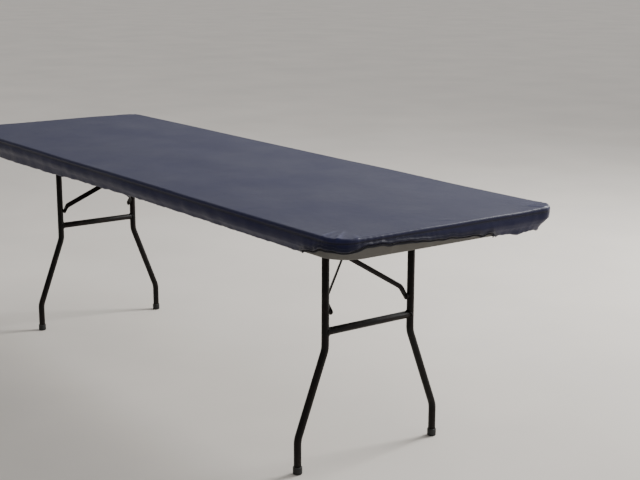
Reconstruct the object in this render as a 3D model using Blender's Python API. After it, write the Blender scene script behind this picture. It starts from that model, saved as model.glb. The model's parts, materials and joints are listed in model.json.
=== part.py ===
"""A fitted cover on a folding banquet table: metres, +Z up, the table's length along X.

The origin is on the floor, under the middle of the top. Set a stands at +X and set b at -X.
"""

from math import cos, pi, sin, sqrt

import bmesh
import bpy
from mathutils import Vector

# Overall sizes, over the cover
TABLE_LENGTH = 2.438
TABLE_WIDTH = 0.762
TABLE_HEIGHT = 0.754

# Clearances
GAP = 0.0003
HINGE_PLAY = 0.0004
CUT_MARGIN = 0.010

# Cover
COVER_THICKNESS = 0.0012
COVER_TURN_UNDER = 0.012
ELASTIC_DIAMETER = 0.004
ELASTIC_GAP = 0.0006

# Top
CORNER_RADIUS = 0.060
EDGE_RADIUS = 0.006
RIM_DEPTH = 0.057
RIM_UPRIGHT = 0.028
RIM_SLOPE = 0.013
RIM_CORNER_GROWTH = 0.036
RIM_FOOT = 0.022
RIM_FOOT_EDGE = 0.003
RIM_DRAFT = 0.004
PANEL_THICKNESS = 0.020

# Frame under the top
RAIL_INSET = 0.081
RAIL_WALL = 0.0015
RAIL_CAP_CLEAR = 0.0008
RAIL_TOP_FLANGE = 0.020
RAIL_LOW_FLANGE = 0.010
RAIL_OVERHANG = 0.048
SCREW_COUNT = 4
SCREW_RADIUS = 0.002
SCREW_HEAD_RADIUS = 0.0045
SCREW_HEAD_HEIGHT = 0.0022
SCREW_DEPTH = 0.012
SCREW_POINT = 0.003
SCREW_END_INSET = 0.018
MEMBER_WIDTH = 0.030
MEMBER_WALL = 0.0015
MEMBER_DEPTH = 0.0087
BRACKET_PLATE = 0.002
BRACKET_EAR = 0.002
BRACKET_LENGTH = 0.020
BRACKET_EAR_DROP = 0.010

# Leg sets
LEG_INSET_A = 0.352
LEG_INSET_B = 0.383
FOLD_CLEAR = 0.0015
LEG_DIAMETER = 0.022
LEG_WALL = 0.0012
LEG_SPACING = 0.310
FOOT_TO_RAIL = 0.050
BEND_BELOW_CROSSBAR = 0.050
LOWER_BEND_HEIGHT = 0.100
BEND_RADIUS = 0.070
CROSSBAR_BELOW_STUD = 0.056
CROSSBAR_DIAMETER = 0.022
PIVOT_END = 0.004
PIVOT_CAP_LIP = 0.002
PIVOT_CAP_THICKNESS = 0.002
PIVOT_CAP_BEVEL = 0.0006
PIVOT_PLUG_DEPTH = 0.010
FOOT_CAP_WALL = 0.0022
FOOT_CAP_HEIGHT = 0.022
FOOT_CAP_FLOOR = 0.004
FOOT_CAP_BEVEL = 0.002

# Brace
BRACE_REACH = 0.255
STRAP_WIDTH = 0.019
STRAP_THICKNESS = 0.003
STRAP_LOW_RUN = 0.034
STRAP_TOP_RUN = 0.014
STRAP_TIP = 0.022
STRAP_BEND = 0.018
PLATE_TIP = 0.0001
LINK_THICKNESS = 0.004
LINK_WIDTH = 0.019
LINK_CLEAR = 0.0004
STUD_RADIUS = 0.004
STUD_COLLAR_RADIUS = 0.007
STUD_COLLAR_LENGTH = 0.0055
STUD_HEAD_RADIUS = 0.007
RIVET_RADIUS = 0.003
RIVET_HEAD_RADIUS = 0.0055
RIVET_HEAD_HEIGHT = 0.002
RING_HEIGHT = 0.010
RING_WALL = 0.0022
RING_CORNER = 0.0005
RING_PARK = 0.075

# Heads: the width of their crown and of a screw's point, as shares of the widest part
HEAD_CROWN = 0.6
POINT_SHARE = 0.3

# Facets
TUBE_SIDES = 16
PIN_SIDES = 16
CAP_SIDES = 24
SCREW_SIDES = 8
CORNER_STEPS = 10
EDGE_STEPS = 4
BEND_STEPS = 5

# Sizes that follow
COVER_BAND = COVER_THICKNESS + GAP
TOP_HALF_LENGTH = TABLE_LENGTH / 2 - COVER_BAND
TOP_HALF_WIDTH = TABLE_WIDTH / 2 - COVER_BAND
TOP_CORNER = CORNER_RADIUS - COVER_BAND
TOP_SURFACE = TABLE_HEIGHT - COVER_BAND
RIM_BOTTOM = TOP_SURFACE - RIM_DEPTH
PANEL_UNDERSIDE = TOP_SURFACE - PANEL_THICKNESS
LEG_RADIUS = LEG_DIAMETER / 2
PIVOT_CAP_RADIUS = LEG_RADIUS + PIVOT_CAP_LIP
FOOT_CAP_RADIUS = LEG_RADIUS + GAP + FOOT_CAP_WALL
UNDER_MEMBER = max(LEG_RADIUS + FOLD_CLEAR - GAP, BRACKET_PLATE + LINK_WIDTH / 2 + LINK_CLEAR)
PIVOT_BELOW_PANEL = MEMBER_DEPTH + 2 * GAP + UNDER_MEMBER
PIVOT_HEIGHT = PANEL_UNDERSIDE - PIVOT_BELOW_PANEL
RAIL_DEPTH = PIVOT_BELOW_PANEL - GAP + PIVOT_CAP_RADIUS + RAIL_CAP_CLEAR + RAIL_WALL
CROSSBAR_DROP = BRACE_REACH + CROSSBAR_BELOW_STUD
UPPER_BEND_DROP = CROSSBAR_DROP + BEND_BELOW_CROSSBAR
RAIL_Y = TABLE_WIDTH / 2 - RAIL_INSET
LEG_Y = LEG_SPACING / 2
FOOT_Y = RAIL_Y - FOOT_TO_RAIL
LINK_LENGTH = BRACE_REACH / sqrt(2)
STRAP_INNER = LINK_THICKNESS / 2 + GAP
STRAP_OUTER_AT_LEG = LEG_Y - LEG_RADIUS - STUD_COLLAR_LENGTH - GAP
SIDES = {"front": -1, "back": 1}

COLORS = {
    "cover": ((0.055, 0.053, 0.105), 0.42, 0.0),
    "elastic": ((0.02, 0.02, 0.025), 0.8, 0.0),
    "top": ((0.33, 0.32, 0.30), 0.6, 0.0),
    "enamel": ((0.012, 0.011, 0.010), 0.35, 0.3),
    "zinc": ((0.55, 0.55, 0.56), 0.35, 1.0),
    "cap": ((0.015, 0.015, 0.015), 0.7, 0.0),
}


def clear_scene():
    for old in list(bpy.data.objects):
        bpy.data.objects.remove(old, do_unlink=True)


def finish_material(name, finish):
    color, roughness, metallic = COLORS[finish]
    material = bpy.data.materials.new(name)
    material.use_nodes = True
    shader = material.node_tree.nodes["Principled BSDF"]
    shader.inputs["Base Color"].default_value = (*color, 1.0)
    shader.inputs["Roughness"].default_value = roughness
    shader.inputs["Metallic"].default_value = metallic
    return material


def axis_empty(name, place, parent=None):
    """An empty on a joint's axis. Its pieces and the next axis hang on it."""
    empty = bpy.data.objects.new(name, None)
    bpy.context.scene.collection.objects.link(empty)
    empty["place"] = tuple(place)
    empty.parent = parent
    base = Vector(parent["place"]) if parent else Vector()
    empty.location = Vector(place) - base
    return empty


def keep(name, bm, finish, parent=None):
    """Makes a mesh given in world coordinates a named piece, with its origin on its parent's."""
    bmesh.ops.recalc_face_normals(bm, faces=bm.faces)
    if parent:
        bmesh.ops.translate(bm, vec=-Vector(parent["place"]), verts=bm.verts)
    mesh = bpy.data.meshes.new(name)
    bm.to_mesh(mesh)
    bm.free()
    mesh.shade_smooth()
    mesh.set_sharp_from_angle(angle=pi / 6)
    mesh.materials.append(finish_material(name, finish))
    piece = bpy.data.objects.new(name, mesh)
    bpy.context.scene.collection.objects.link(piece)
    piece.parent = parent
    return piece


def cut(piece, cutter):
    """Takes the cutter away from the piece. The cutter stays as a hidden helper."""
    cutter.hide_render = True
    cutter.display_type = "WIRE"
    modifier = piece.modifiers.new("cut " + cutter.name, "BOOLEAN")
    modifier.object = cutter


def joined_loops(loops, ring=False):
    """A closed mesh through loops of equal length, capped at both ends unless it is a ring."""
    bm = bmesh.new()
    rows = [[bm.verts.new(point) for point in loop] for loop in loops]
    pairs = list(zip(rows, rows[1:]))
    if ring:
        pairs.append((rows[-1], rows[0]))
    for low, high in pairs:
        for i in range(len(low)):
            j = (i + 1) % len(low)
            bm.faces.new((low[i], low[j], high[j], high[i]))
    if not ring:
        bm.faces.new(rows[0])
        bm.faces.new(rows[-1])
    return bm


def disc_points(radius, sides):
    return [(radius * cos(2 * pi * i / sides), radius * sin(2 * pi * i / sides)) for i in range(sides)]


def across(direction):
    """Two unit vectors across a direction, the first of them level along Y where it can be."""
    side = Vector((0, 1, 0))
    if abs(direction.y) > 0.9:
        side = Vector((1, 0, 0))
    other = direction.cross(side).normalized()
    return other.cross(direction).normalized(), other


def turned(profile, start, direction, sides=PIN_SIDES):
    """A turned piece: profile of (distance along, radius), from one flat end to the other."""
    first, second = across(direction)
    loops = []
    for along, radius in profile:
        centre = start + direction * along
        loops.append([centre + first * x + second * y for x, y in disc_points(radius, sides)])
    return joined_loops(loops)


def rounded_path(corners, radius, steps):
    """The path through the corners, each inner corner made an arc."""
    path = [corners[0]]
    for before, corner, after in zip(corners, corners[1:], corners[2:]):
        into = (corner - before).normalized()
        out = (after - corner).normalized()
        angle = into.angle(out)
        run = radius * sin(angle / 2) / cos(angle / 2)
        run = min(run, 0.45 * (corner - before).length, 0.45 * (after - corner).length)
        first, last = corner - into * run, corner + out * run
        for i in range(steps + 1):
            t = i / steps
            path.append(first * (1 - t) ** 2 + corner * 2 * t * (1 - t) + last * t * t)
    path.append(corners[-1])
    return path


def tangents(path):
    """A direction at each point of a path, shared between the runs on both sides of it."""
    ends = [path[0]] + path + [path[-1]]
    return [(after - before).normalized() for before, after in zip(ends, ends[2:])]


def tube(path, radius, wall):
    """An open-ended round tube along a path that lies in a plane of constant X."""
    flat = Vector((1, 0, 0))
    outer, inner = [], []
    for point, along in zip(path, tangents(path)):
        side = along.cross(flat).normalized()
        for loops, r in ((outer, radius), (inner, radius - wall)):
            loops.append([point + flat * x + side * y for x, y in disc_points(r, TUBE_SIDES)])
    return joined_loops(outer + inner[::-1], ring=True)


def rounded_rectangle(half_a, half_b, radius, steps):
    """(a, b) points round a rectangle with round corners."""
    points = []
    for index, (sa, sb) in enumerate(((1, 1), (-1, 1), (-1, -1), (1, -1))):
        for i in range(steps + 1):
            turn = (index + i / steps) * pi / 2
            a = sa * (half_a - radius) + radius * cos(turn)
            points.append((a, sb * (half_b - radius) + radius * sin(turn)))
    return points


def corner_growth(height):
    """How much rounder the corners are down where the rim's side leans in."""
    share = (TOP_SURFACE - RIM_UPRIGHT - height) / (RIM_DEPTH - RIM_UPRIGHT)
    return RIM_CORNER_GROWTH * min(max(share, 0), 1)


def outline(half_length, half_width, corner, inward, height):
    """A rounded rectangle, moved in from the outer edge by a distance."""
    radius = max(corner - inward, 0.001) + corner_growth(height)
    points = rounded_rectangle(half_length - inward, half_width - inward, radius, CORNER_STEPS)
    return [Vector((x, y, height)) for x, y in points]


def edge_arc(radius, top):
    """(inward, height) points from the top face down round the upper edge."""
    turns = [i * pi / 2 / EDGE_STEPS for i in range(EDGE_STEPS + 1)]
    return [(radius * (1 - sin(turn)), top - radius * (1 - cos(turn))) for turn in turns]


def layered(profile, outward=0.0, ring=False):
    """A solid with the top's outline, whose profile is (inward, height) from the top's edge."""
    loops = []
    for inward, height in profile:
        size = (TOP_HALF_LENGTH + outward, TOP_HALF_WIDTH + outward, TOP_CORNER + outward)
        loops.append(outline(*size, inward + outward, height))
    return joined_loops(loops, ring)


def prism(section, start, end):
    """A section of points, run from start to end."""
    return joined_loops([[start + point for point in section], [end + point for point in section]])


def screw_places():
    """Where the rail screws go along the rails."""
    first, last = rail_ends()
    first += SCREW_END_INSET
    last -= SCREW_END_INSET
    return [first + (last - first) * i / (SCREW_COUNT - 1) for i in range(SCREW_COUNT)]


def rail_ends():
    low = -TABLE_LENGTH / 2 + LEG_INSET_B - RAIL_OVERHANG
    high = TABLE_LENGTH / 2 - LEG_INSET_A + RAIL_OVERHANG
    return low, high


def screw_y(side):
    return side * (RAIL_Y + RAIL_TOP_FLANGE / 2)


def make_top():
    profile = edge_arc(EDGE_RADIUS, TOP_SURFACE) + rim_side(0)
    inside = RIM_SLOPE + RIM_FOOT
    profile += [(inside, RIM_BOTTOM), (inside + RIM_DRAFT, PANEL_UNDERSIDE)]
    top = keep("tabletop", layered(profile), "top")
    for side_name, side in SIDES.items():
        for number, x in enumerate(screw_places(), 1):
            start = Vector((x, screw_y(side), PANEL_UNDERSIDE - CUT_MARGIN))
            depth = SCREW_DEPTH + CUT_MARGIN + GAP
            radius = SCREW_RADIUS + GAP
            hole = turned([(0, radius), (depth, radius)], start, Vector((0, 0, 1)), SCREW_SIDES)
            cut(top, keep(f"pilot hole {side_name} {number}", hole, "top"))
    return top


def rim_side(away):
    """(inward, height) points down the rim's outer side and in to its foot, this far off it."""
    lean = away * RIM_SLOPE / (RIM_DEPTH - RIM_UPRIGHT)
    bend = TOP_SURFACE - RIM_UPRIGHT - lean
    foot = RIM_BOTTOM + RIM_FOOT_EDGE
    side = [(-away, bend), (RIM_SLOPE - away, foot - away / 2)]
    return side + [(RIM_SLOPE + RIM_FOOT_EDGE, RIM_BOTTOM - away)]


def skin_side(away):
    """(inward, height) points of one face of the cover, from the top face to the hem."""
    arc = edge_arc(EDGE_RADIUS + away, TOP_SURFACE + away)
    shoulder = [(inward - away, height) for inward, height in arc]
    hem = RIM_SLOPE + RIM_FOOT_EDGE + COVER_TURN_UNDER
    return shoulder + rim_side(away) + [(hem, RIM_BOTTOM - away)]


def make_cover():
    skin = skin_side(COVER_BAND) + skin_side(GAP)[::-1]
    keep("fitted_cover", layered(skin, COVER_BAND), "cover")
    radius = ELASTIC_DIAMETER / 2
    centre_in = RIM_SLOPE + RIM_FOOT_EDGE + COVER_TURN_UNDER + ELASTIC_GAP + radius
    height = RIM_BOTTOM - GAP - radius
    ring = [(centre_in + x, height + y) for x, y in disc_points(radius, 8)]
    keep("hem_elastic", layered(ring, ring=True), "elastic")


def make_rail(name, side):
    """A channel that opens outwards. The pivot tubes turn in holes in its web."""
    top = PANEL_UNDERSIDE - GAP
    low = top - RAIL_DEPTH
    wall = RAIL_WALL
    corners = [(0, low), (RAIL_LOW_FLANGE, low), (RAIL_LOW_FLANGE, low + wall), (wall, low + wall)]
    corners += [(wall, top - wall), (RAIL_TOP_FLANGE, top - wall), (RAIL_TOP_FLANGE, top), (0, top)]
    section = [Vector((0, side * (RAIL_Y + y), z)) for y, z in corners]
    first, last = rail_ends()
    rail = keep(name, prism(section, Vector((first, 0, 0)), Vector((last, 0, 0))), "enamel")
    radius = LEG_RADIUS + HINGE_PLAY
    for set_name, pivot_x, _ in leg_sets():
        start = Vector((pivot_x, side * (RAIL_Y - CUT_MARGIN), PIVOT_HEIGHT))
        hole = turned([(0, radius), (2 * CUT_MARGIN, radius)], start, Vector((0, side, 0)), CAP_SIDES)
        cut(rail, keep(f"pivot hole {name} {set_name}", hole, "enamel"))
    radius = SCREW_RADIUS + GAP
    for number, x in enumerate(screw_places(), 1):
        start = Vector((x, screw_y(side), top - 2 * wall))
        hole = turned([(0, radius), (3 * wall, radius)], start, Vector((0, 0, 1)), SCREW_SIDES)
        cut(rail, keep(f"screw hole {name} {number}", hole, "enamel"))


def make_screws(side_name, side):
    under = PANEL_UNDERSIDE - GAP - RAIL_WALL - GAP
    head = SCREW_HEAD_HEIGHT
    wide, shank = SCREW_HEAD_RADIUS, SCREW_RADIUS
    length = head + RAIL_WALL + 2 * GAP + SCREW_DEPTH - GAP
    profile = [(0, HEAD_CROWN * wide), (head / 2, wide), (head, wide), (head, shank)]
    profile += [(length - SCREW_POINT, shank), (length, POINT_SHARE * shank)]
    for number, x in enumerate(screw_places(), 1):
        start = Vector((x, screw_y(side), under - head))
        screw = turned(profile, start, Vector((0, 0, 1)), SCREW_SIDES)
        keep(f"rail_screw_{side_name}_{number}", screw, "zinc")


def make_frame():
    for side_name, side in SIDES.items():
        make_rail(f"side_rail_{side_name}", side)
        make_screws(side_name, side)


def leg_sets():
    """(name, pivot's X, which way is outwards) of each leg set."""
    return (
        ("a", TABLE_LENGTH / 2 - LEG_INSET_A, 1),
        ("b", -TABLE_LENGTH / 2 + LEG_INSET_B, -1),
    )


class LegSet:
    """One folding leg set. Places in it are (inboard, y, drop) from the pivot axis."""

    def __init__(self, name, pivot_x, outward):
        self.name = name
        self.pivot_x = pivot_x
        self.outward = outward
        self.uphill = self.way(1, 1)
        self.square = self.way(-1, 1)
        self.stud = self.at(0, 0, BRACE_REACH)
        self.anchor = self.at(BRACE_REACH, 0, 0)
        self.middle = (self.stud + self.anchor) / 2
        self.legs_axis = axis_empty(f"legs_axis_{name}", self.at(0, 0, 0))
        self.brace_axis = axis_empty(f"brace_axis_{name}", self.stud, self.legs_axis)
        self.link_axis = axis_empty(f"link_axis_{name}", self.anchor)
        parked = self.middle + self.uphill * RING_PARK
        self.ring_axis = axis_empty(f"ring_axis_{name}", parked, self.link_axis)

    def at(self, inboard, y, drop):
        return Vector((self.pivot_x - self.outward * inboard, y, PIVOT_HEIGHT - drop))

    def way(self, inboard, up):
        return Vector((-self.outward * inboard, 0, up)).normalized()

    def make(self):
        self.make_member()
        self.make_bracket()
        self.make_pivot_tube()
        self.make_crossbar()
        for side_name, side in SIDES.items():
            self.make_leg(side_name, side)
            self.make_foot_cap(side_name, side)
            self.make_stud(side_name, side)
            self.make_strap(side_name, side)
            self.make_rivet(side_name, side)
        self.make_link()
        self.make_ring()

    def make_member(self):
        """The channel across the rails, open at its top."""
        top = PANEL_UNDERSIDE - GAP
        low = top - MEMBER_DEPTH
        half = MEMBER_WIDTH / 2
        inner, floor = half - MEMBER_WALL, low + MEMBER_WALL
        corners = [(-half, top), (-half, low), (half, low), (half, top)]
        corners += [(inner, top), (inner, floor), (-inner, floor), (-inner, top)]
        section = [Vector((self.anchor.x + x, 0, z)) for x, z in corners]
        reach = Vector((0, RAIL_Y - GAP, 0))
        keep(f"cross_member_{self.name}", prism(section, -reach, reach), "enamel")

    def make_bracket(self):
        """A plate under the cross member, with two ears that hold the link's pin."""
        top = PANEL_UNDERSIDE - MEMBER_DEPTH - 2 * GAP
        plate_low = top - BRACKET_PLATE
        ear_low = PIVOT_HEIGHT - BRACKET_EAR_DROP
        slot = LINK_THICKNESS / 2 + HINGE_PLAY
        wide = slot + BRACKET_EAR
        corners = [(-wide, top), (-wide, ear_low), (-slot, ear_low), (-slot, plate_low)]
        corners += [(slot, plate_low), (slot, ear_low), (wide, ear_low), (wide, top)]
        section = [Vector((self.anchor.x, y, z)) for y, z in corners]
        reach = Vector((BRACKET_LENGTH / 2, 0, 0))
        bracket = keep(f"brace_bracket_{self.name}", prism(section, -reach, reach), "enamel")
        start = self.anchor - Vector((0, 2 * CUT_MARGIN, 0))
        radius = RIVET_RADIUS + GAP
        hole = turned([(0, radius), (4 * CUT_MARGIN, radius)], start, Vector((0, 1, 0)))
        cut(bracket, keep(f"ear holes {self.name}", hole, "enamel"))
        reach = wide + GAP
        head = RIVET_HEAD_HEIGHT
        flat = RIVET_HEAD_RADIUS
        profile = [(0, HEAD_CROWN * flat), (head / 2, flat), (head, flat), (head, RIVET_RADIUS)]
        total = 2 * (reach + head)
        profile += [(total - along, radius) for along, radius in profile[::-1]]
        start = self.anchor - Vector((0, reach + head, 0))
        keep(f"bracket_pin_{self.name}", turned(profile, start, Vector((0, 1, 0))), "zinc")

    def make_pivot_tube(self):
        reach = RAIL_Y + RAIL_WALL + PIVOT_END
        centre = self.at(0, 0, 0)
        axis = Vector((0, 1, 0))
        inner = LEG_RADIUS - LEG_WALL
        outer_loops, inner_loops = [], []
        first, second = across(axis)
        for y in (-reach, reach):
            for loops, r in ((outer_loops, LEG_RADIUS), (inner_loops, inner)):
                middle = centre + axis * y
                loops.append([middle + first * a + second * b for a, b in disc_points(r, CAP_SIDES)])
        shape = joined_loops(outer_loops + inner_loops[::-1], ring=True)
        keep(f"pivot_tube_{self.name}", shape, "enamel", self.legs_axis)
        for side_name, side in SIDES.items():
            way = Vector((0, side, 0))
            start = centre + way * (reach - PIVOT_PLUG_DEPTH)
            plug = inner - GAP
            cap = PIVOT_CAP_RADIUS
            bevel = PIVOT_CAP_BEVEL
            low = PIVOT_PLUG_DEPTH + GAP
            high = low + PIVOT_CAP_THICKNESS
            profile = [(0, plug), (low, plug), (low, cap), (high - bevel, cap), (high, cap - bevel)]
            shape = turned(profile, start, way, CAP_SIDES)
            keep(f"pivot_cap_{self.name}_{side_name}", shape, "cap", self.legs_axis)

    def make_leg(self, side_name, side):
        corners = [
            self.at(0, side * LEG_Y, 0),
            self.at(0, side * LEG_Y, UPPER_BEND_DROP),
            self.at(0, side * FOOT_Y, PIVOT_HEIGHT - LOWER_BEND_HEIGHT),
            self.at(0, side * FOOT_Y, PIVOT_HEIGHT - FOOT_CAP_FLOOR - GAP),
        ]
        path = rounded_path(corners, BEND_RADIUS, BEND_STEPS)
        name = f"leg_tube_{self.name}_{side_name}"
        leg = keep(name, tube(path, LEG_RADIUS, LEG_WALL), "enamel", self.legs_axis)
        start = self.at(0, side * LEG_Y - LEG_DIAMETER, 0)
        radius = LEG_RADIUS + GAP
        saddle = turned([(0, radius), (2 * LEG_DIAMETER, radius)], start, Vector((0, 1, 0)), CAP_SIDES)
        cut(leg, keep(f"saddle {name}", saddle, "enamel", self.legs_axis))

    def leg_bar(self, name, side):
        """The upright part of a leg tube with its clearance, to cope what is welded to it."""
        start = self.at(0, side * LEG_Y, CROSSBAR_DROP + CROSSBAR_DIAMETER)
        radius = LEG_RADIUS + GAP
        bar = turned([(0, radius), (CROSSBAR_DROP, radius)], start, Vector((0, 0, 1)), CAP_SIDES)
        return keep(name, bar, "enamel", self.legs_axis)

    def make_crossbar(self):
        reach = LEG_Y - LEG_RADIUS / 2
        start = self.at(0, -reach, CROSSBAR_DROP)
        end = self.at(0, reach, CROSSBAR_DROP)
        radius = CROSSBAR_DIAMETER / 2
        name = f"crossbar_{self.name}"
        bar = keep(name, tube([start, end], radius, LEG_WALL), "enamel", self.legs_axis)
        for side_name, side in SIDES.items():
            cut(bar, self.leg_bar(f"cope {name} {side_name}", side))

    def make_foot_cap(self, side_name, side):
        centre = self.at(0, side * FOOT_Y, PIVOT_HEIGHT)
        outer = FOOT_CAP_RADIUS
        inner = LEG_RADIUS + GAP
        bevel = FOOT_CAP_BEVEL
        profile = [(0, outer - bevel), (bevel, outer), (FOOT_CAP_HEIGHT - bevel / 2, outer)]
        profile += [(FOOT_CAP_HEIGHT, outer - bevel / 2), (FOOT_CAP_HEIGHT, inner), (FOOT_CAP_FLOOR, inner)]
        shape = turned(profile, centre, Vector((0, 0, 1)), CAP_SIDES)
        keep(f"foot_cap_{self.name}_{side_name}", shape, "cap", self.legs_axis)

    def make_stud(self, side_name, side):
        """A rivet with a spacer collar, from the leg's inner side through the strap."""
        way = Vector((0, -side, 0))
        base = LEG_RADIUS / 2
        start = self.stud + Vector((0, side * (LEG_Y - base), 0))
        collar = LEG_RADIUS - base + STUD_COLLAR_LENGTH
        shank = collar + STRAP_THICKNESS + 2 * GAP
        head = shank + RIVET_HEAD_HEIGHT
        profile = [(0, STUD_COLLAR_RADIUS), (collar, STUD_COLLAR_RADIUS), (collar, STUD_RADIUS)]
        profile += [(shank, STUD_RADIUS), (shank, STUD_HEAD_RADIUS)]
        profile += [(shank + RIVET_HEAD_HEIGHT / 2, STUD_HEAD_RADIUS), (head, HEAD_CROWN * STUD_HEAD_RADIUS)]
        name = f"brace_stud_{self.name}_{side_name}"
        stud = keep(name, turned(profile, start, way), "enamel", self.legs_axis)
        cut(stud, self.leg_bar(f"cope {name}", side))

    def strap_path(self, side):
        """The strap's middle line: level at the leg, slanted in, level again at the link."""
        far = side * (STRAP_OUTER_AT_LEG - STRAP_THICKNESS / 2)
        near = side * (STRAP_INNER + STRAP_THICKNESS / 2)
        half = STRAP_WIDTH / 2
        runs = [(-half, far), (STRAP_LOW_RUN, far), (LINK_LENGTH - STRAP_TOP_RUN, near)]
        runs += [(LINK_LENGTH + STRAP_TIP, near)]
        return rounded_path([Vector((along, y, 0)) for along, y in runs], STRAP_BEND, BEND_STEPS)

    def plate(self, path, origin, width, thickness):
        """A flat bar with round ends. Its path is (along the brace, y) from the origin."""
        half = width / 2
        turns = [i * pi / 2 / EDGE_STEPS for i in range(1, EDGE_STEPS)]
        ends = [half * (1 - cos(turn)) + PLATE_TIP for turn in turns]
        start, stop = path[0].x, path[-1].x
        stations = [Vector((start + end, path[0].y, 0)) for end in ends]
        stations += path[1:-1]
        stations += [Vector((stop - end, path[-1].y, 0)) for end in ends[::-1]]
        loops = []
        for point, along in zip(stations, tangents(stations)):
            edge = min(point.x - start, stop - point.x)
            rise = sqrt(max(half**2 - max(half - edge, 0) ** 2, 0))
            off = Vector((-along.y, along.x, 0)) * thickness / 2
            loop = []
            for turn, up in ((off, rise), (-off, rise), (-off, -rise), (off, -rise)):
                line = point + turn
                loop.append(origin + self.uphill * line.x + Vector((0, line.y, 0)) + self.square * up)
            loops.append(loop)
        return joined_loops(loops)

    def drill(self, piece, name, centre, radius, parent):
        start = centre - Vector((0, LEG_Y, 0))
        hole = turned([(0, radius), (LEG_SPACING, radius)], start, Vector((0, 1, 0)))
        cut(piece, keep(name, hole, "zinc", parent))

    def make_strap(self, side_name, side):
        name = f"brace_strap_{self.name}_{side_name}"
        shape = self.plate(self.strap_path(side), self.stud, STRAP_WIDTH, STRAP_THICKNESS)
        strap = keep(name, shape, "enamel", self.brace_axis)
        self.drill(strap, f"stud hole {name}", self.stud, STUD_RADIUS + HINGE_PLAY, self.brace_axis)
        self.drill(strap, f"rivet hole {name}", self.middle, RIVET_RADIUS + GAP, self.brace_axis)

    def make_rivet(self, side_name, side):
        """Half of the middle joint's rivet. It ends at the strap's inner face."""
        way = Vector((0, side, 0))
        start = self.middle + way * STRAP_INNER
        shank = STRAP_THICKNESS + GAP
        profile = [(0, RIVET_RADIUS), (shank, RIVET_RADIUS), (shank, RIVET_HEAD_RADIUS)]
        profile += [(shank + RIVET_HEAD_HEIGHT / 2, RIVET_HEAD_RADIUS)]
        profile += [(shank + RIVET_HEAD_HEIGHT, HEAD_CROWN * RIVET_HEAD_RADIUS)]
        keep(f"brace_rivet_{self.name}_{side_name}", turned(profile, start, way), "zinc", self.brace_axis)

    def make_link(self):
        half = LINK_WIDTH / 2
        path = [Vector((-half, 0, 0)), Vector((LINK_LENGTH / 2, 0, 0)), Vector((LINK_LENGTH + half, 0, 0))]
        name = f"upper_link_{self.name}"
        shape = self.plate(path, self.middle, LINK_WIDTH, LINK_THICKNESS)
        link = keep(name, shape, "enamel", self.link_axis)
        self.drill(link, f"low hole {name}", self.middle, RIVET_RADIUS + GAP, self.link_axis)
        self.drill(link, f"top hole {name}", self.anchor, RIVET_RADIUS + HINGE_PLAY, self.link_axis)

    def make_ring(self):
        """A flat collar round the link, wide enough to drop over the strap tips."""
        slot_y = STRAP_INNER + STRAP_THICKNESS + HINGE_PLAY
        slot_up = max(STRAP_WIDTH, LINK_WIDTH) / 2 + 2 * GAP
        middle = self.middle + self.uphill * RING_PARK
        loops = []
        for along, wall in ((-1, RING_WALL), (1, RING_WALL), (1, 0), (-1, 0)):
            base = middle + self.uphill * along * RING_HEIGHT / 2
            corner = RING_CORNER + wall
            points = rounded_rectangle(slot_y + wall, slot_up + wall, corner, EDGE_STEPS)
            loops.append([base + Vector((0, y, 0)) + self.square * up for y, up in points])
        keep(f"lock_ring_{self.name}", joined_loops(loops, ring=True), "zinc", self.ring_axis)


def main():
    clear_scene()
    make_top()
    make_cover()
    make_frame()
    for name, pivot_x, outward in leg_sets():
        LegSet(name, pivot_x, outward).make()


main()
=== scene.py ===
import json
from math import cos, pi, radians, sin

import bmesh
import bpy
import numpy as np
from bpy.props import FloatProperty, FloatVectorProperty, PointerProperty
from mathutils import Matrix, Vector, geometry


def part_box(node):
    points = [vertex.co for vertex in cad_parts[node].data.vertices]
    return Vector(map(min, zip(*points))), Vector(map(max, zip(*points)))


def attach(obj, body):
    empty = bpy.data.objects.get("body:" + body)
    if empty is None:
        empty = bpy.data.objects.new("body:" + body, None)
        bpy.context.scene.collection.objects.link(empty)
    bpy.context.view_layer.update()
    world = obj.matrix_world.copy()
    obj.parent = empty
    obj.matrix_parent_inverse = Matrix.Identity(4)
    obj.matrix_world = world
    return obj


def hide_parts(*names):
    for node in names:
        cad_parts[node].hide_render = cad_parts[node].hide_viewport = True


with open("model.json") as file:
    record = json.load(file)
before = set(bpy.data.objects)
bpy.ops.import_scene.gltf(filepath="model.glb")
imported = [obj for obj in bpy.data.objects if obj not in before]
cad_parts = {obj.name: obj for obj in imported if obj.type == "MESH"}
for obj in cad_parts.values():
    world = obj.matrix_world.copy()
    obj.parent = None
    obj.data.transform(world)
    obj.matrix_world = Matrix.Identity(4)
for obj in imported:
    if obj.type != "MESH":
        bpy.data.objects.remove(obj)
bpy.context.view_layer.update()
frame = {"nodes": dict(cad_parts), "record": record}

bl_info = {
    "name": "Fitted Table Cover",
    "version": (1, 0, 0),
    "blender": (4, 5, 0),
    "location": "3D View > Sidebar > Table Cover",
    "description": "Builds a navy fitted cover with an elastic hem on a long folding table",
    "category": "Object",
}

SETS = ("a", "b")
SIDES = ("front", "back")

# The moulded top's section and corners, as the frame has them
TOP_LOW, TOP_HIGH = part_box("tabletop")
CORNER_RADIUS = 0.0585
EDGE_RADIUS = 0.006
RIM_UPRIGHT = 0.028
RIM_SLOPE = 0.013
RIM_FOOT_EDGE = 0.003
RIM_FOOT = 0.022
RIM_DRAFT = 0.004
RIM_CORNER_GROWTH = 0.036
PANEL_THICKNESS = 0.020
RIM_DEPTH = TOP_HIGH.z - TOP_LOW.z
LEAN_START = TOP_HIGH.z - RIM_UPRIGHT

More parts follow.
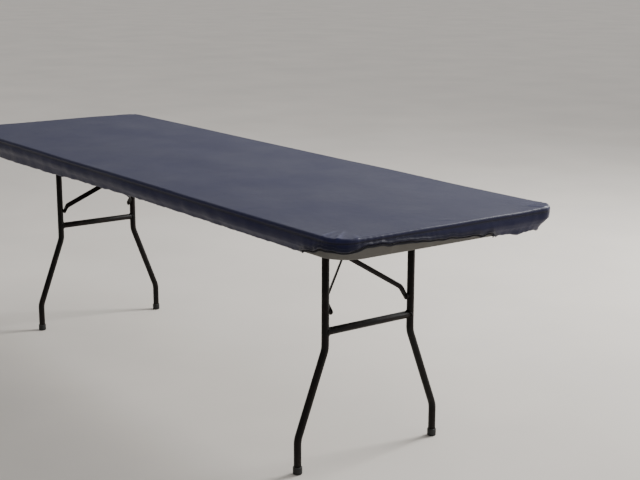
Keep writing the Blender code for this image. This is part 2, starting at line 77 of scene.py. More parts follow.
# How far the elastic stands above the rim's foot, or the hem hangs below it where negative.
# Each place is measured round the edge from the middle of the corner at +X, -Y: positive towards
# the end of the table, negative along its front.
HEM_PLACES = (
    (-3.15, -0.004), (-2.60, -0.008), (-2.30, -0.012), (-1.95, -0.014), (-1.70, -0.012),
    (-1.40, -0.005), (-0.95, 0.000), (-0.260, 0.000), (-0.190, 0.0025), (-0.105, 0.010),
    (-0.045, 0.0245), (0.018, 0.0215), (0.085, 0.0315), (0.180, 0.0265), (0.330, 0.0175),
    (0.420, 0.0125), (0.500, 0.0085), (0.560, 0.000), (0.615, -0.005), (0.655, -0.0015),
    (0.700, -0.005), (0.760, -0.001), (0.900, -0.003), (1.600, -0.006), (2.500, -0.003),
    (3.15, -0.004),
)
# Each corner's direction from the middle of the top, the size of its folds, and their start
CORNER_FOLDS = ((1, -1, 1.0, 0.4), (1, 1, 0.75, 1.9), (-1, 1, 0.55, 3.1), (-1, -1, 0.6, 5.0))
SEAM_DOWN = 0.0135  # the seam, below the start of the edge
FOLD_CENTRE = 0.115  # the middle the corner folds run out from, in from both edges
CORNER_ZONE = 0.14  # the top's finely meshed square at each corner
CORNER_PITCH = 0.008
MERGE = 1e-6

SHADER = "Principled BSDF"


# ---------------------------------------------------------------- settings


def length(name, description, default):
    """A length in metres, shown in the scene's unit."""
    return FloatProperty(
        name=name, description=description, default=default, subtype="DISTANCE", unit="LENGTH",
    )


def tint(name, description, default):
    """A linear colour."""
    return FloatVectorProperty(
        name=name, description=description, default=default, subtype="COLOR", size=3, min=0, max=1,
    )


class CoverSettings(bpy.types.PropertyGroup):
    color: tint("Cloth colour", "Navy of the coated cloth", (0.0062, 0.0070, 0.040))
    thickness: length("Cloth thickness", "Thickness of the coated cloth", 0.0005)
    clearance: length("Clearance", "From the moulded top to the cloth's outer face", 0.0014)
    turn_under: length("Turn under", "How far the hem reaches under the rim's foot", 0.012)
    fullness: length("Side fullness", "How far the side band stands off the rim", 0.0034)
    gather_pitch: length("Gather pitch", "Distance from one gather at the hem to the next", 0.021)
    gather_depth: length("Gather depth", "Depth of the gathers at the hem", 0.0017)
    corner_folds: length("Corner folds", "Height of the folds that run out over a corner", 0.0028)
    slackness: length("Slackness", "Height of the soft waves on the top", 0.0007)
    column_pitch: length("Column pitch", "Mesh spacing round the edge", 0.0057)
    margin: length("Fine margin", "Width of the finely meshed margin round the top", 0.030)
    grid_pitch: length("Grid pitch", "Mesh spacing on the top", 0.012)


class HemSettings(bpy.types.PropertyGroup):
    elastic: length("Elastic", "Diameter of the elastic cord", 0.004)
    stitch_pitch: length("Stitch pitch", "Distance from one stitch to the next", 0.0046)
    stitch_length: length("Stitch length", "Length of one stitch", 0.0034)
    thread: length("Thread radius", "Radius of the sewing thread", 0.00035)
    thread_color: tint("Thread colour", "Colour of the sewing thread", (0.02, 0.02, 0.045))


class TopSettings(bpy.types.PropertyGroup):
    color: tint("Plastic colour", "Light grey of the moulded top", (0.088, 0.085, 0.077))
    dimple_pitch: length("Dimple pitch", "Distance between the tack-off dimples underneath", 0.060)
    dimple_radius: length("Dimple radius", "Radius of a dimple at its mouth", 0.016)
    dimple_depth: length("Dimple depth", "Depth of a dimple", 0.007)


class MetalSettings(bpy.types.PropertyGroup):
    enamel: tint("Powder coat", "Black of the leg sets' powder coat", (0.0022, 0.0018, 0.0014))
    zinc: tint("Zinc", "Zinc plate on screws, rivets and lock rings", (0.60, 0.60, 0.58))
    edge: length("Edge softness", "Width of the soft edge on sheet metal", 0.0004)
    weld: length("Weld bead", "Radius of the weld beads", 0.0024)


class StageSettings(bpy.types.PropertyGroup):
    key: FloatProperty(name="Key light", description="Power of the main light", default=230.0)
    fill: FloatProperty(name="Fill light", description="Power of the soft front light", default=6.0)
    sky: FloatProperty(name="Surround", description="Brightness of the surround", default=0.9)
    floor: tint("Floor colour", "Pale floor", (0.78, 0.73, 0.66))


# ---------------------------------------------------------------- shared shader groups


def shader_group(name, vectors, values, outputs):
    """A new shader node group with its sockets, and its input and output nodes."""
    tree = bpy.data.node_groups.new(name, "ShaderNodeTree")
    for label in vectors:
        tree.interface.new_socket(label, in_out="INPUT", socket_type="NodeSocketVector")
    for label, value in values.items():
        socket = tree.interface.new_socket(label, in_out="INPUT", socket_type="NodeSocketFloat")
        socket.default_value = value
    for label in outputs:
        tree.interface.new_socket(label, in_out="OUTPUT", socket_type="NodeSocketFloat")
    return tree, tree.nodes.new("NodeGroupInput"), tree.nodes.new("NodeGroupOutput")


def maths(tree, operation, first, second=None, clamp=False):
    """A Math node. Each value is a number or a socket."""
    node = tree.nodes.new("ShaderNodeMath")
    node.operation = operation
    node.use_clamp = clamp
    for socket, value in zip(node.inputs, (first, second)):
        if value is None:
            continue
        if isinstance(value, (int, float)):
            socket.default_value = value
        else:
            tree.links.new(value, socket)
    return node.outputs[0]


def spread(tree, value, low, high, to_low=0.0, to_high=1.0):
    """A Map Range node from low..high, clamped."""
    node = tree.nodes.new("ShaderNodeMapRange")
    node.inputs["From Min"].default_value = low
    node.inputs["From Max"].default_value = high
    node.inputs["To Min"].default_value = to_low
    node.inputs["To Max"].default_value = to_high
    tree.links.new(value, node.inputs["Value"])
    return node.outputs["Result"]


def noise_of(tree, vector, scale, detail=2.0, roughness=0.5, stretch=None):
    """A Noise Texture's value. Stretch scales the pattern along each axis first."""
    if stretch:
        mapping = tree.nodes.new("ShaderNodeMapping")
        mapping.inputs["Scale"].default_value = stretch
        tree.links.new(vector, mapping.inputs["Vector"])
        vector = mapping.outputs["Vector"]
    node = tree.nodes.new("ShaderNodeTexNoise")
    node.inputs["Detail"].default_value = detail
    node.inputs["Roughness"].default_value = roughness
    tree.links.new(vector, node.inputs["Vector"])
    if isinstance(scale, (int, float)):
        node.inputs["Scale"].default_value = scale
    else:
        tree.links.new(scale, node.inputs["Scale"])
    return node.outputs["Fac"]


def weave_group():
    """Plain weave from a flat pattern in metres: the threads' height, and the gaps between them."""
    values = {"Threads per metre": 1000.0}
    tree, start, end = shader_group("plain weave", ("Vector",), values, ("Height", "Gap"))
    split = tree.nodes.new("ShaderNodeSeparateXYZ")
    tree.links.new(start.outputs["Vector"], split.inputs[0])
    turn = maths(tree, "MULTIPLY", start.outputs["Threads per metre"], pi)
    across = maths(tree, "MULTIPLY", split.outputs["X"], turn)
    along = maths(tree, "MULTIPLY", split.outputs["Y"], turn)
    warp = maths(tree, "ABSOLUTE", maths(tree, "SINE", across))
    weft = maths(tree, "ABSOLUTE", maths(tree, "SINE", along))
    over = maths(tree, "MULTIPLY", maths(tree, "COSINE", across), maths(tree, "COSINE", along))
    lean = maths(tree, "MULTIPLY_ADD", over, 0.5)
    lean.node.inputs[2].default_value = 0.5
    under = maths(tree, "SUBTRACT", 1.0, lean)
    lengthwise = maths(tree, "MULTIPLY", warp, lean)
    crosswise = maths(tree, "MULTIPLY", weft, under)
    high = maths(tree, "MAXIMUM", lengthwise, crosswise)
    tree.links.new(high, end.inputs["Height"])
    tree.links.new(spread(tree, high, 0.35, 0.10), end.inputs["Gap"])
    return tree


def dust_group():
    """Fine dust that settles on faces that look up."""
    values = {"Amount": 0.3, "Scale": 40.0}
    tree, start, end = shader_group("settled dust", ("Vector", "Normal"), values, ("Mask",))
    split = tree.nodes.new("ShaderNodeSeparateXYZ")
    tree.links.new(start.outputs["Normal"], split.inputs[0])
    upward = spread(tree, split.outputs["Z"], 0.2, 1.0)
    patches = noise_of(tree, start.outputs["Vector"], start.outputs["Scale"], 4.0, 0.65)
    cloud = spread(tree, patches, 0.38, 0.68)
    mask = maths(tree, "MULTIPLY", maths(tree, "MULTIPLY", upward, cloud), start.outputs["Amount"])
    tree.links.new(mask, end.inputs["Mask"])
    return tree


def scuff_group():
    """Rubbed patches and fine scratches, for coated metal and plastic."""
    values = {"Scale": 30.0, "Amount": 0.5}
    tree, start, end = shader_group("scuffs", ("Vector",), values, ("Mask", "Height"))
    place = start.outputs["Vector"]
    patches = spread(tree, noise_of(tree, place, start.outputs["Scale"], 5.0, 0.6), 0.56, 0.70)
    lines = noise_of(tree, place, start.outputs["Scale"], 3.0, 0.5, (14.0, 14.0, 0.7))
    scratches = spread(tree, lines, 0.66, 0.72)
    both = maths(tree, "MAXIMUM", patches, scratches)
    tree.links.new(maths(tree, "MULTIPLY", both, start.outputs["Amount"]), end.inputs["Mask"])
    tree.links.new(maths(tree, "SUBTRACT", 1.0, scratches), end.inputs["Height"])
    return tree


def grain_group():
    """Moulded grain: small rounded cells, and the fine noise between them."""
    values = {"Cells per metre": 900.0}
    tree, start, end = shader_group("moulded grain", ("Vector",), values, ("Height", "Speckle"))
    cells = tree.nodes.new("ShaderNodeTexVoronoi")
    cells.feature = "SMOOTH_F1"
    tree.links.new(start.outputs["Vector"], cells.inputs["Vector"])
    tree.links.new(start.outputs["Cells per metre"], cells.inputs["Scale"])
    fine = noise_of(tree, start.outputs["Vector"], start.outputs["Cells per metre"], 3.0, 0.6)
    height = maths(tree, "ADD", cells.outputs["Distance"], maths(tree, "MULTIPLY", fine, 0.5))
    tree.links.new(height, end.inputs["Height"])
    tree.links.new(spread(tree, fine, 0.35, 0.65), end.inputs["Speckle"])
    return tree


def shared(name):
    """A shared shader group by name, built the first time it is asked for."""
    makers = {
        "plain weave": weave_group, "settled dust": dust_group,
        "scuffs": scuff_group, "moulded grain": grain_group,
    }
    return bpy.data.node_groups.get(name) or makers[name]()


# ---------------------------------------------------------------- materials


class Finish:
    """A material under construction, with its shader and its usual inputs."""

    def __init__(self, name, roughness, metallic=0.0, specular=0.5):
        self.material = bpy.data.materials.new(name)
        self.material.use_nodes = True
        self.tree = self.material.node_tree
        self.shader = self.tree.nodes[SHADER]
        self.shader.inputs["Roughness"].default_value = roughness
        self.shader.inputs["Metallic"].default_value = metallic
        self.shader.inputs["Specular IOR Level"].default_value = specular
        self.place = self.tree.nodes.new("ShaderNodeTexCoord").outputs["Object"]
        self.normal = self.tree.nodes.new("ShaderNodeNewGeometry").outputs["Normal"]

    def group(self, name, vector, **values):
        node = self.tree.nodes.new("ShaderNodeGroup")
        node.node_tree = shared(name)
        self.tree.links.new(vector, node.inputs["Vector"])
        for label, value in values.items():
            node.inputs[label.replace("_", " ")].default_value = value
        if "Normal" in node.inputs:
            self.tree.links.new(self.normal, node.inputs["Normal"])
        return node

    def mix(self, mask, first, second):
        """The first colour where the mask is 0, the second where it is 1."""
        node = self.tree.nodes.new("ShaderNodeMix")
        node.data_type = "RGBA"
        self.tree.links.new(mask, node.inputs["Factor"])
        for label, value in (("A", first), ("B", second)):
            socket = [s for s in node.inputs if s.name == label and s.type == "RGBA"][0]
            if isinstance(value, (tuple, list)):
                socket.default_value = (*value[:3], 1.0)
            else:
                self.tree.links.new(value, socket)
        return [s for s in node.outputs if s.type == "RGBA"][0]

    def color(self, socket):
        self.tree.links.new(socket, self.shader.inputs["Base Color"])

    def roughness(self, socket):
        self.tree.links.new(socket, self.shader.inputs["Roughness"])

    def bump(self, layers):
        """Bump nodes in a row: (height socket, depth in metres, strength) of each."""
        before = None
        for height, depth, strength in layers:
            node = self.tree.nodes.new("ShaderNodeBump")
            node.inputs["Distance"].default_value = depth
            node.inputs["Strength"].default_value = strength
            self.tree.links.new(height, node.inputs["Height"])
            if before:
                self.tree.links.new(before, node.inputs["Normal"])
            before = node.outputs["Normal"]
        self.tree.links.new(before, self.shader.inputs["Normal"])


def scaled(color, factor):
    return tuple(channel * factor for channel in color)


def cloth_finish():
    """Coated navy cloth: fine weave, small creases, a satin face, painted shade along the seam and
    towards the hem, and painted highlights on the fold crests.
    """
    color = tuple(bpy.context.scene.cover_settings.color)
    finish = Finish("navy coated cloth", 0.5, specular=0.24)
    flat = finish.tree.nodes.new("ShaderNodeUVMap")
    flat.uv_map = "flat cut"
    weave = finish.group("plain weave", flat.outputs["UV"], Threads_per_metre=1250.0)
    seam = finish.tree.nodes.new("ShaderNodeAttribute")
    seam.attribute_name = "seam"
    cloud = noise_of(finish.tree, flat.outputs["UV"], 3.2, 3.0, 0.55)
    crease = noise_of(finish.tree, flat.outputs["UV"], 26.0, 3.0, 0.6, (1.0, 1.7, 1.0))
    crackle = noise_of(finish.tree, flat.outputs["UV"], 150.0, 2.0, 0.5)
    body = finish.mix(spread(finish.tree, cloud, 0.35, 0.68), color, scaled(color, 1.14))
    body = finish.mix(weave.outputs["Gap"], body, scaled(color, 0.55))
    body = finish.mix(spread(finish.tree, crease, 0.58, 0.75, 0.0, 0.35), body, scaled(color, 1.7))
    # Painted highlight: the colour is lighter on the crests of the corner folds
    crest = finish.tree.nodes.new("ShaderNodeAttribute")
    crest.attribute_name = "crest"
    body = finish.mix(crest.outputs["Fac"], body, scaled(color, 1.8))
    # Painted shade: the colour is darkened along the seam groove under the edge and on the low band
    # towards the hem
    body = finish.mix(seam.outputs["Fac"], body, scaled(color, 0.35))
    dust = finish.group("settled dust", finish.place, Amount=0.025, Scale=9.0)
    finish.color(finish.mix(dust.outputs["Mask"], body, (0.32, 0.31, 0.32)))
    rubbed = maths(finish.tree, "MULTIPLY", crest.outputs["Fac"], 0.14)
    dull = spread(finish.tree, cloud, 0.3, 0.7, 0.41, 0.49)
    finish.roughness(maths(finish.tree, "SUBTRACT", dull, rubbed))
    finish.shader.inputs["Sheen Weight"].default_value = 0.04
    finish.shader.inputs["Sheen Roughness"].default_value = 0.45
    finish.shader.inputs["Sheen Tint"].default_value = (0.75, 0.78, 1.0, 1.0)
    finish.bump([
        (crease, 0.0016, 0.45),
        (crackle, 0.0003, 0.35),
        (weave.outputs["Height"], 0.00012, 0.6),
    ])
    return finish.material


def elastic_finish():
    """Covered elastic: ribs of covering thread round the cord."""
    finish = Finish("covered elastic", 0.82, specular=0.3)
    flat = finish.tree.nodes.new("ShaderNodeUVMap")
    flat.uv_map = "flat cut"
    weave = finish.group("plain weave", flat.outputs["UV"], Threads_per_metre=900.0)
    fuzz = noise_of(finish.tree, finish.place, 700.0, 3.0, 0.6)
    body = finish.mix(fuzz, (0.008, 0.008, 0.014), (0.022, 0.022, 0.034))
    finish.color(finish.mix(weave.outputs["Gap"], body, (0.004, 0.004, 0.006)))
    finish.bump([(weave.outputs["Height"], 0.0003, 0.8)])
    return finish.material


def thread_finish():
    """Twisted polyester thread."""
    color = tuple(bpy.context.scene.hem_settings.thread_color)
    finish = Finish("sewing thread", 0.45, specular=0.5)
    twist = noise_of(finish.tree, finish.place, 2200.0, 2.0, 0.5)
    finish.color(finish.mix(twist, scaled(color, 0.7), scaled(color, 1.9)))
    finish.bump([(twist, 0.0001, 0.6)])
    return finish.material


def plastic_finish(name, color, cells, dust_amount, scuffed):
    """Moulded plastic: grain, uneven colour, rubbed patches and dust."""
    finish = Finish(name, 0.6, specular=0.42)
    grain = finish.group("moulded grain", finish.place, Cells_per_metre=cells)
    scuffs = finish.group("scuffs", finish.place, Scale=18.0, Amount=scuffed)
    dust = finish.group("settled dust", finish.place, Amount=dust_amount, Scale=30.0)
    cloud = noise_of(finish.tree, finish.place, 7.0, 4.0, 0.6)
    stain = spread(finish.tree, cloud, 0.45, 0.75, 0.0, 0.5)
    body = finish.mix(grain.outputs["Speckle"], scaled(color, 0.88), scaled(color, 1.12))
    warm = (color[0] * 0.86, color[1] * 0.76, color[2] * 0.62)
    body = finish.mix(stain, body, warm)
    body = finish.mix(scuffs.outputs["Mask"], body, tuple(min(c * 1.5 + 0.01, 1.0) for c in color))
    finish.color(finish.mix(dust.outputs["Mask"], body, (0.35, 0.33, 0.30)))
    finish.roughness(spread(finish.tree, grain.outputs["Speckle"], 0.0, 1.0, 0.54, 0.68))
    finish.bump([(grain.outputs["Height"], 0.0005, 0.5), (scuffs.outputs["Height"], 0.0002, 0.3)])
    return finish.material


def enamel_finish():
    """Black powder coat on steel: orange peel, rubbed spots, scratches and a little dust."""
    color = tuple(bpy.context.scene.metal_settings.enamel)
    finish = Finish("black powder coat", 0.42, specular=0.18)
    peel = noise_of(finish.tree, finish.place, 420.0, 2.0, 0.45)
    cloud = noise_of(finish.tree, finish.place, 22.0, 3.0, 0.6)
    scuffs = finish.group("scuffs", finish.place, Scale=46.0, Amount=0.7)
    dust = finish.group("settled dust", finish.place, Amount=0.07, Scale=60.0)
    warm = (color[0] * 2.3 + 0.002, color[1] * 1.7, color[2] * 1.5)
    body = finish.mix(spread(finish.tree, cloud, 0.40, 0.70), color, warm)
    body = finish.mix(scuffs.outputs["Mask"], body, (0.020, 0.015, 0.012))
    finish.color(finish.mix(dust.outputs["Mask"], body, (0.30, 0.28, 0.25)))
    finish.roughness(spread(finish.tree, cloud, 0.3, 0.7, 0.36, 0.52))
    finish.bump([(peel, 0.0003, 0.35), (scuffs.outputs["Height"], 0.0001, 0.4)])
    return finish.material


def zinc_finish():
    """Bright zinc plate with a dull bloom and brushed lines."""
    color = tuple(bpy.context.scene.metal_settings.zinc)
    finish = Finish("zinc plate", 0.32, metallic=1.0)
    bloom = noise_of(finish.tree, finish.place, 160.0, 4.0, 0.6)
    lines = noise_of(finish.tree, finish.place, 600.0, 2.0, 0.5, (1.0, 1.0, 6.0))
    yellow = (color[0] * 0.95, color[1] * 0.86, color[2] * 0.66)
    body = finish.mix(spread(finish.tree, bloom, 0.40, 0.65), color, yellow)
    dust = finish.group("settled dust", finish.place, Amount=0.2, Scale=80.0)
    finish.color(finish.mix(dust.outputs["Mask"], body, (0.30, 0.28, 0.25)))
    finish.roughness(spread(finish.tree, bloom, 0.35, 0.65, 0.24, 0.50))
    finish.bump([(lines, 0.0001, 0.4), (bloom, 0.0001, 0.3)])
    return finish.material


def grey_plastic():
    """The moulded top's grained grey plastic."""
    color = tuple(bpy.context.scene.top_settings.color)
    return plastic_finish("grained grey plastic", color, 950.0, 0.25, 0.35)


def black_plastic():
    """The moulded caps' black plastic."""
    return plastic_finish("black moulded caps", (0.012, 0.012, 0.012), 1500.0, 0.3, 0.5)


def finish_of(slot):
    """The material of one of this object's slots, made the first time it is used."""
    makers = {
        "cover": ("navy coated cloth", cloth_finish),
        "elastic": ("covered elastic", elastic_finish),
        "thread": ("sewing thread", thread_finish),
        "moulded_top": ("grained grey plastic", grey_plastic),
        "black_cap": ("black moulded caps", black_plastic),
        "black_enamel": ("black powder coat", enamel_finish),
        "zinc": ("zinc plate", zinc_finish),
    }
    name, maker = makers[slot]
    return bpy.data.materials.get(name) or maker()


# ---------------------------------------------------------------- the edge of the top


class EdgeLine:
    """The top's outline seen from above, measured from the middle of the corner at +X, -Y."""

    def __init__(self):
        self.half = np.array([TOP_HIGH.x, TOP_HIGH.y])
        sx, sy = self.half - CORNER_RADIUS
        quarter = CORNER_RADIUS * pi / 2
        turns = (
            (0.5, sx, -sy, -45, 0), (1, sx, sy, 0, 90), (1, -sx, sy, 90, 180),
            (1, -sx, -sy, 180, 270), (0.5, sx, -sy, 270, 315),
        )
        reach, centres, angles, total = [], [], [], 0.0
        for index, (share, x, y, first, last) in enumerate(turns):
            if index:
                total += (2 * sy, 2 * sx)[(index + 1) % 2]
            reach.append(total)
            total += share * quarter
            reach.append(total)
            centres += [(x, y), (x, y)]
            angles += [first, last]
        self.reach, self.total = np.array(reach), total
        self.centres, self.angles = np.array(centres, float), np.radians(np.array(angles, float))
        steps = np.array([0, 2 * sy, 2 * sx, 2 * sy]) + quarter * np.array([0, 1, 1, 1])
        self.corners = np.cumsum(steps)

    def at(self, along):
        """Points on the outline, and the outward normals there."""
        along = np.mod(along, self.total)
        centre = np.stack([np.interp(along, self.reach, self.centres[:, i]) for i in (0, 1)], -1)
        angle = np.interp(along, self.reach, self.angles)
        normal = np.stack([np.cos(angle), np.sin(angle)], -1)
        return centre + normal * CORNER_RADIUS, normal

    def inset(self, along, inward, height):
        """Points moved in from the outline, to where the rim's rounder lower corners are."""
        start, normal = self.at(along)
        share = np.clip((LEAN_START - height) / (RIM_DEPTH - RIM_UPRIGHT), 0, 1)
        radius = np.maximum(CORNER_RADIUS - inward, 0.001) + RIM_CORNER_GROWTH * share
        half = self.half - np.stack([inward, inward], -1)
        low, high = np.full(inward.shape, -0.03), np.full(inward.shape, 0.10)
        for _ in range(34):
            middle = (low + high) / 2
            outside = rounded_distance(start - normal * middle[..., None], half, radius)
            low = np.where(outside > 0, middle, low)
            high = np.where(outside > 0, high, middle)
        return start - normal * ((low + high) / 2)[..., None]


class RimLine:
    """The top's section from the upper face, round the edge and down, to under the foot."""

    def __init__(self, under):
        turns = np.linspace(0, pi / 2, 13)
        line = [(1 - sin(t), cos(t) - 1) for t in turns]
        line = [(EDGE_RADIUS * a, TOP_HIGH.z + EDGE_RADIUS * b) for a, b in line]
        flat = RIM_SLOPE + RIM_FOOT_EDGE
        line += [(0, LEAN_START), (RIM_SLOPE, TOP_LOW.z + RIM_FOOT_EDGE)]
        line = np.array(line + [(flat, TOP_LOW.z), (flat + under, TOP_LOW.z)])
        steps = np.linalg.norm(np.diff(line, axis=0), axis=1)
        reach = np.concatenate([[0], np.cumsum(steps)])
        self.length = reach[-1]
        self.along = np.linspace(0, self.length, 400)
        self.inward = np.interp(self.along, reach, line[:, 0])
        self.height = np.interp(self.along, reach, line[:, 1])
        window = np.ones(17) / 17
        out, up = -np.gradient(self.inward), np.gradient(self.height)
        out = np.convolve(np.pad(out, 8, mode="edge"), window, "valid")
        up = np.convolve(np.pad(up, 8, mode="edge"), window, "valid")
        size = np.hypot(out, up)
        self.out, self.up = -up / size, out / size
        self.foot = reach[-2]
        self.lean = reach[-4]

    def at(self, along, offset):
        """(inward, height) of points off the section by the offset, and how much they face up."""
        out, up = np.interp(along, self.along, self.out), np.interp(along, self.along, self.up)
        inward = np.interp(along, self.along, self.inward) - out * offset + np.maximum(-along, 0)
        return inward, np.interp(along, self.along, self.height) + up * offset, up

    def where(self, height):
        """How far along the section its outer side is at a height."""
        side = self.along <= self.foot
        return np.interp(-height, -self.height[side], self.along[side])


def ramp(values, width):
    """0 below 0, 1 above the width, with a soft start and end."""
    share = np.clip(values / width, 0, 1)
    return share * share * (3 - 2 * share)


def rounded_distance(point, half, radius):
    """How far points are outside a rounded rectangle round the origin, negative inside it."""
    radius = np.asarray(radius)
    corner = np.abs(point) - (half - radius[..., None])
    return np.linalg.norm(np.maximum(corner, 0), axis=-1) + np.minimum(corner.max(-1), 0) - radius


def eased(points, at):
    """A smooth line through (place, value) points."""
    places, values = np.array(points).T
    index = np.clip(np.searchsorted(places, at, side="right") - 1, 0, len(places) - 2)
    share = ramp(at - places[index], places[index + 1] - places[index])
    return values[index] + (values[index + 1] - values[index]) * share


def bump(values, centre, width):
    """A rounded rise to 1 at the centre."""
    return np.exp(-(((values - centre) / width) ** 2))


def waves_round(along, total, pitch, seed, count=5):
    """Uneven waves round the closed edge, from about -1 to 1."""
    rng = np.random.default_rng(seed)
    result = np.zeros_like(along)
    for _ in range(count):
        turns = max(1, round(total / (pitch * rng.uniform(0.7, 1.45))))
        result = result + np.cos(2 * pi * turns * along / total + rng.uniform(0, 2 * pi))
    return result / np.sqrt(count / 2) / 1.6


def waves_over(x, y, pitch, seed, stretch=1.0, count=9):
    """Uneven waves over the flat top, from about -1 to 1, longer along X by the stretch."""
    rng = np.random.default_rng(seed)
    result = np.zeros_like(x)
    for _ in range(count):
        angle = rng.uniform(0, pi)
        size = 2 * pi / (pitch * rng.uniform(0.7, 1.6))
        place = cos(angle) * x / stretch + sin(angle) * y
        result = result + np.cos(size * place + rng.uniform(0, 2 * pi))
    return result / np.sqrt(count / 2) / 1.6


def folds(phase, sharpness=1.6):
    """Rounded ridges with narrow valleys from a phase."""
    return (0.5 + 0.5 * np.cos(phase)) ** sharpness


class CoverShape:
    """The cover's outer face: where each point of the flat cut lies on the table."""

    def __init__(self, settings):
        self.s = settings
        self.edge = EdgeLine()
        self.rim = RimLine(settings.turn_under + RIM_FOOT_EDGE)
        self.columns = round(self.edge.total / settings.column_pitch)
        self.room = 1.3 * bpy.context.scene.hem_settings.elastic
        self.along = np.arange(self.columns) * self.edge.total / self.columns

    def signed(self, along):
        """The distance from the corner at +X, -Y, negative along the front."""
        return np.where(along > self.edge.total / 2, along - self.edge.total, along)

    def ride(self, along):
        """The hem's height above the rim's foot."""
        flutter = 0.0011 * waves_round(along, self.edge.total, 0.06, 3)
        return eased(HEM_PLACES, self.signed(along)) + flutter

    def hem(self, along):
        """How far down the section the hem ends."""
        low = TOP_LOW.z + self.room
        slope = self.rim.where(low + 0.002)
        up = self.rim.where(low + np.maximum(self.ride(along), 0.002))
        share = ramp(self.ride(along), 0.010)
        return self.rim.length + (np.minimum(up, slope) - self.rim.length) * share

    def corner_share(self, along):
        """1 at the middle of each corner, falling to 0 along the sides."""
        half = self.edge.total / 2
        share = np.zeros_like(along)
        for place in self.edge.corners:
            away = np.abs((along - place + half) % self.edge.total - half)
            share = np.maximum(share, bump(away, 0, 0.10))
        return share

    def waves(self, along, pitch, seed):
        return waves_round(along, self.edge.total, pitch, seed)

    def side_offset(self, along, down, hem):
        """How far the band stands off the top's side."""
        s, rim, total = self.s, self.rim, self.edge.total
        corner = self.corner_share(along)
        to_hem = hem - down
        # Soft fullness of the band, with the roll and the seam groove under the edge
        swell = 1 + 0.45 * self.waves(along, 0.42, 11) - 0.35 * corner
        middle = 0.5 * (rim.lean + rim.foot) - 0.010
        extra = s.fullness * swell * bump(down, middle, 0.017)
        extra += 0.0003 * bump(down, 0.007, 0.004) - 0.0011 * bump(down, SEAM_DOWN, 0.0026)
        # Gathers at the hem, deeper at the corners
        turns = round(total / s.gather_pitch)
        phase = 2 * pi * turns * along / total + 2.6 * self.waves(along, 0.16, 5)
        depth = s.gather_depth * (0.45 + 0.9 * corner + 0.35 * self.waves(along, 0.3, 7) ** 2)
        extra += depth * folds(phase) * np.clip(1 - to_hem / 0.040, 0, 1) ** 1.4
        # Slanted drag lines at the corners, one long crease and uneven ripples
        extra += 0.0009 * corner * folds(phase * 0.5 + down * 70, 2.2) * ramp(down, 0.02)
        fold_line = rim.lean + 0.010 + 0.002 * self.waves(along, 0.5, 9)
        extra += 0.0007 * bump(down, fold_line, 0.0022)
        extra += 0.0006 * self.waves(along, 0.085, 13) * ramp(down - 0.012, 0.02)
        # The elastic's channel, and the full corner at +X, +Y
        extra += 0.0021 * bump(to_hem, 0.0050, 0.0030)
        extra += 0.0034 * bump(along, self.edge.corners[1], 0.045) * bump(down, 0.012, 0.013)
        close = np.clip(to_hem / 0.003, 0, 1)
        foot = 0.0009 * bump(down, rim.foot - 0.001, 0.005)
        return s.clearance + foot + np.maximum(extra, -0.0005) * (0.25 + 0.75 * close)

    def corner_lift(self, x, y):
        """Folds that run out over the corners, strongest over the corner at +X, -Y."""
        result = np.zeros_like(x)
        centre = self.edge.half - FOLD_CENTRE
        for sx, sy, size, start in CORNER_FOLDS:
            dx = (x - sx * centre[0]) * sx
            dy = (y - sy * centre[1]) * sy
            reach = np.hypot(dx, dy)
            angle = np.arctan2(dy, dx)
            inside = ramp(angle + 0.35, 0.5) * ramp(pi / 2 + 0.35 - angle, 0.5)
            uneven = 0.60 + 0.40 * np.cos(3.6 * (angle - pi / 4) + 0.2 * start)
            phase = 27 * angle + 2.3 * np.sin(5 * angle + start)
            phase += 1.2 * np.sin(13 * angle + 2 * start)
            rays = folds(phase, 1.7) * (0.62 + 0.38 * np.cos(0.37 * phase + start))
            first = 0.022 + 0.045 * (0.5 + 0.5 * np.cos(0.5 * phase + start))
            grow = ramp(reach - first, 0.060)
            result += self.s.corner_folds * size * uneven * rays * grow * inside
        return result

    def top_lift(self, x, y):
        """Soft waves, short puckers along the edges and one short wrinkle near the end."""
        soft = waves_over(x, y, 0.30, 21, 2.2) + 0.5 * waves_over(x, y, 0.21, 22, 2.2)
        lift = self.s.slackness * (soft + 0.6)
        for axis, (place, run) in enumerate(((x, y), (y, x))):
            for way in (-1, 1):
                inside = self.edge.half[axis] - way * place
                seed = 31 + 2 * axis + way
                uneven = np.maximum(waves_over(run, run * 0, 0.16, seed), 0)
                phase = 2 * pi * run / 0.034 + 2 * np.sin(run * 21 + seed)
                lift = lift + 0.0007 * uneven * folds(phase, 2.4) * bump(inside, 0, 0.014)
        slant = x - self.edge.half[0] + 0.042 - 0.5 * y
        lift = lift + 0.0016 * bump(slant, 0, 0.006) * bump(y, 0, 0.022)
        return np.maximum(lift, -0.0003)

    def band(self, along, down):
        """Points of the cover's outer face on the band, for columns and distances down it."""
        hem = self.hem(along)
        inward, height, up = self.rim.at(down, self.side_offset(along, down, hem))
        hang = np.maximum(-self.ride(along), 0)
        foot = bump(down, self.rim.foot - 0.001, 0.0115) * np.clip((hem - down) / 0.004, 0, 1)
        fade = np.clip(down / (self.rim.foot - 0.012), 0, 1) ** 3
        height = height - hang * np.where(down < self.rim.foot, np.maximum(foot, 0) * fade, foot)
        inward = inward - 0.25 * hang * foot
        flat = self.edge.inset(along, inward, height)
        return np.concatenate([flat, height[..., None]], -1), np.maximum(up, 0)

    def lifted(self, points, share):
        """Points with the top's waves and folds put on them, as far as they belong to the top."""
        x, y = points[..., 0], points[..., 1]
        result = points.copy()
        result[..., 2] += (self.top_lift(x, y) + self.corner_lift(x, y)) * share
        return result

    def place(self, along, down):
        """The finished outer face at any place on the band."""
        points, up = self.band(along, down)
        points = self.lifted(points, up)
        over = 0.6 * self.corner_lift(points[..., 0], points[..., 1]) * (1 - up)
        over *= np.clip(1 - down / (0.8 * self.rim.foot), 0, 1)
        _, normal = self.edge.at(along)
        points[..., :2] += normal * over[..., None]
        return points

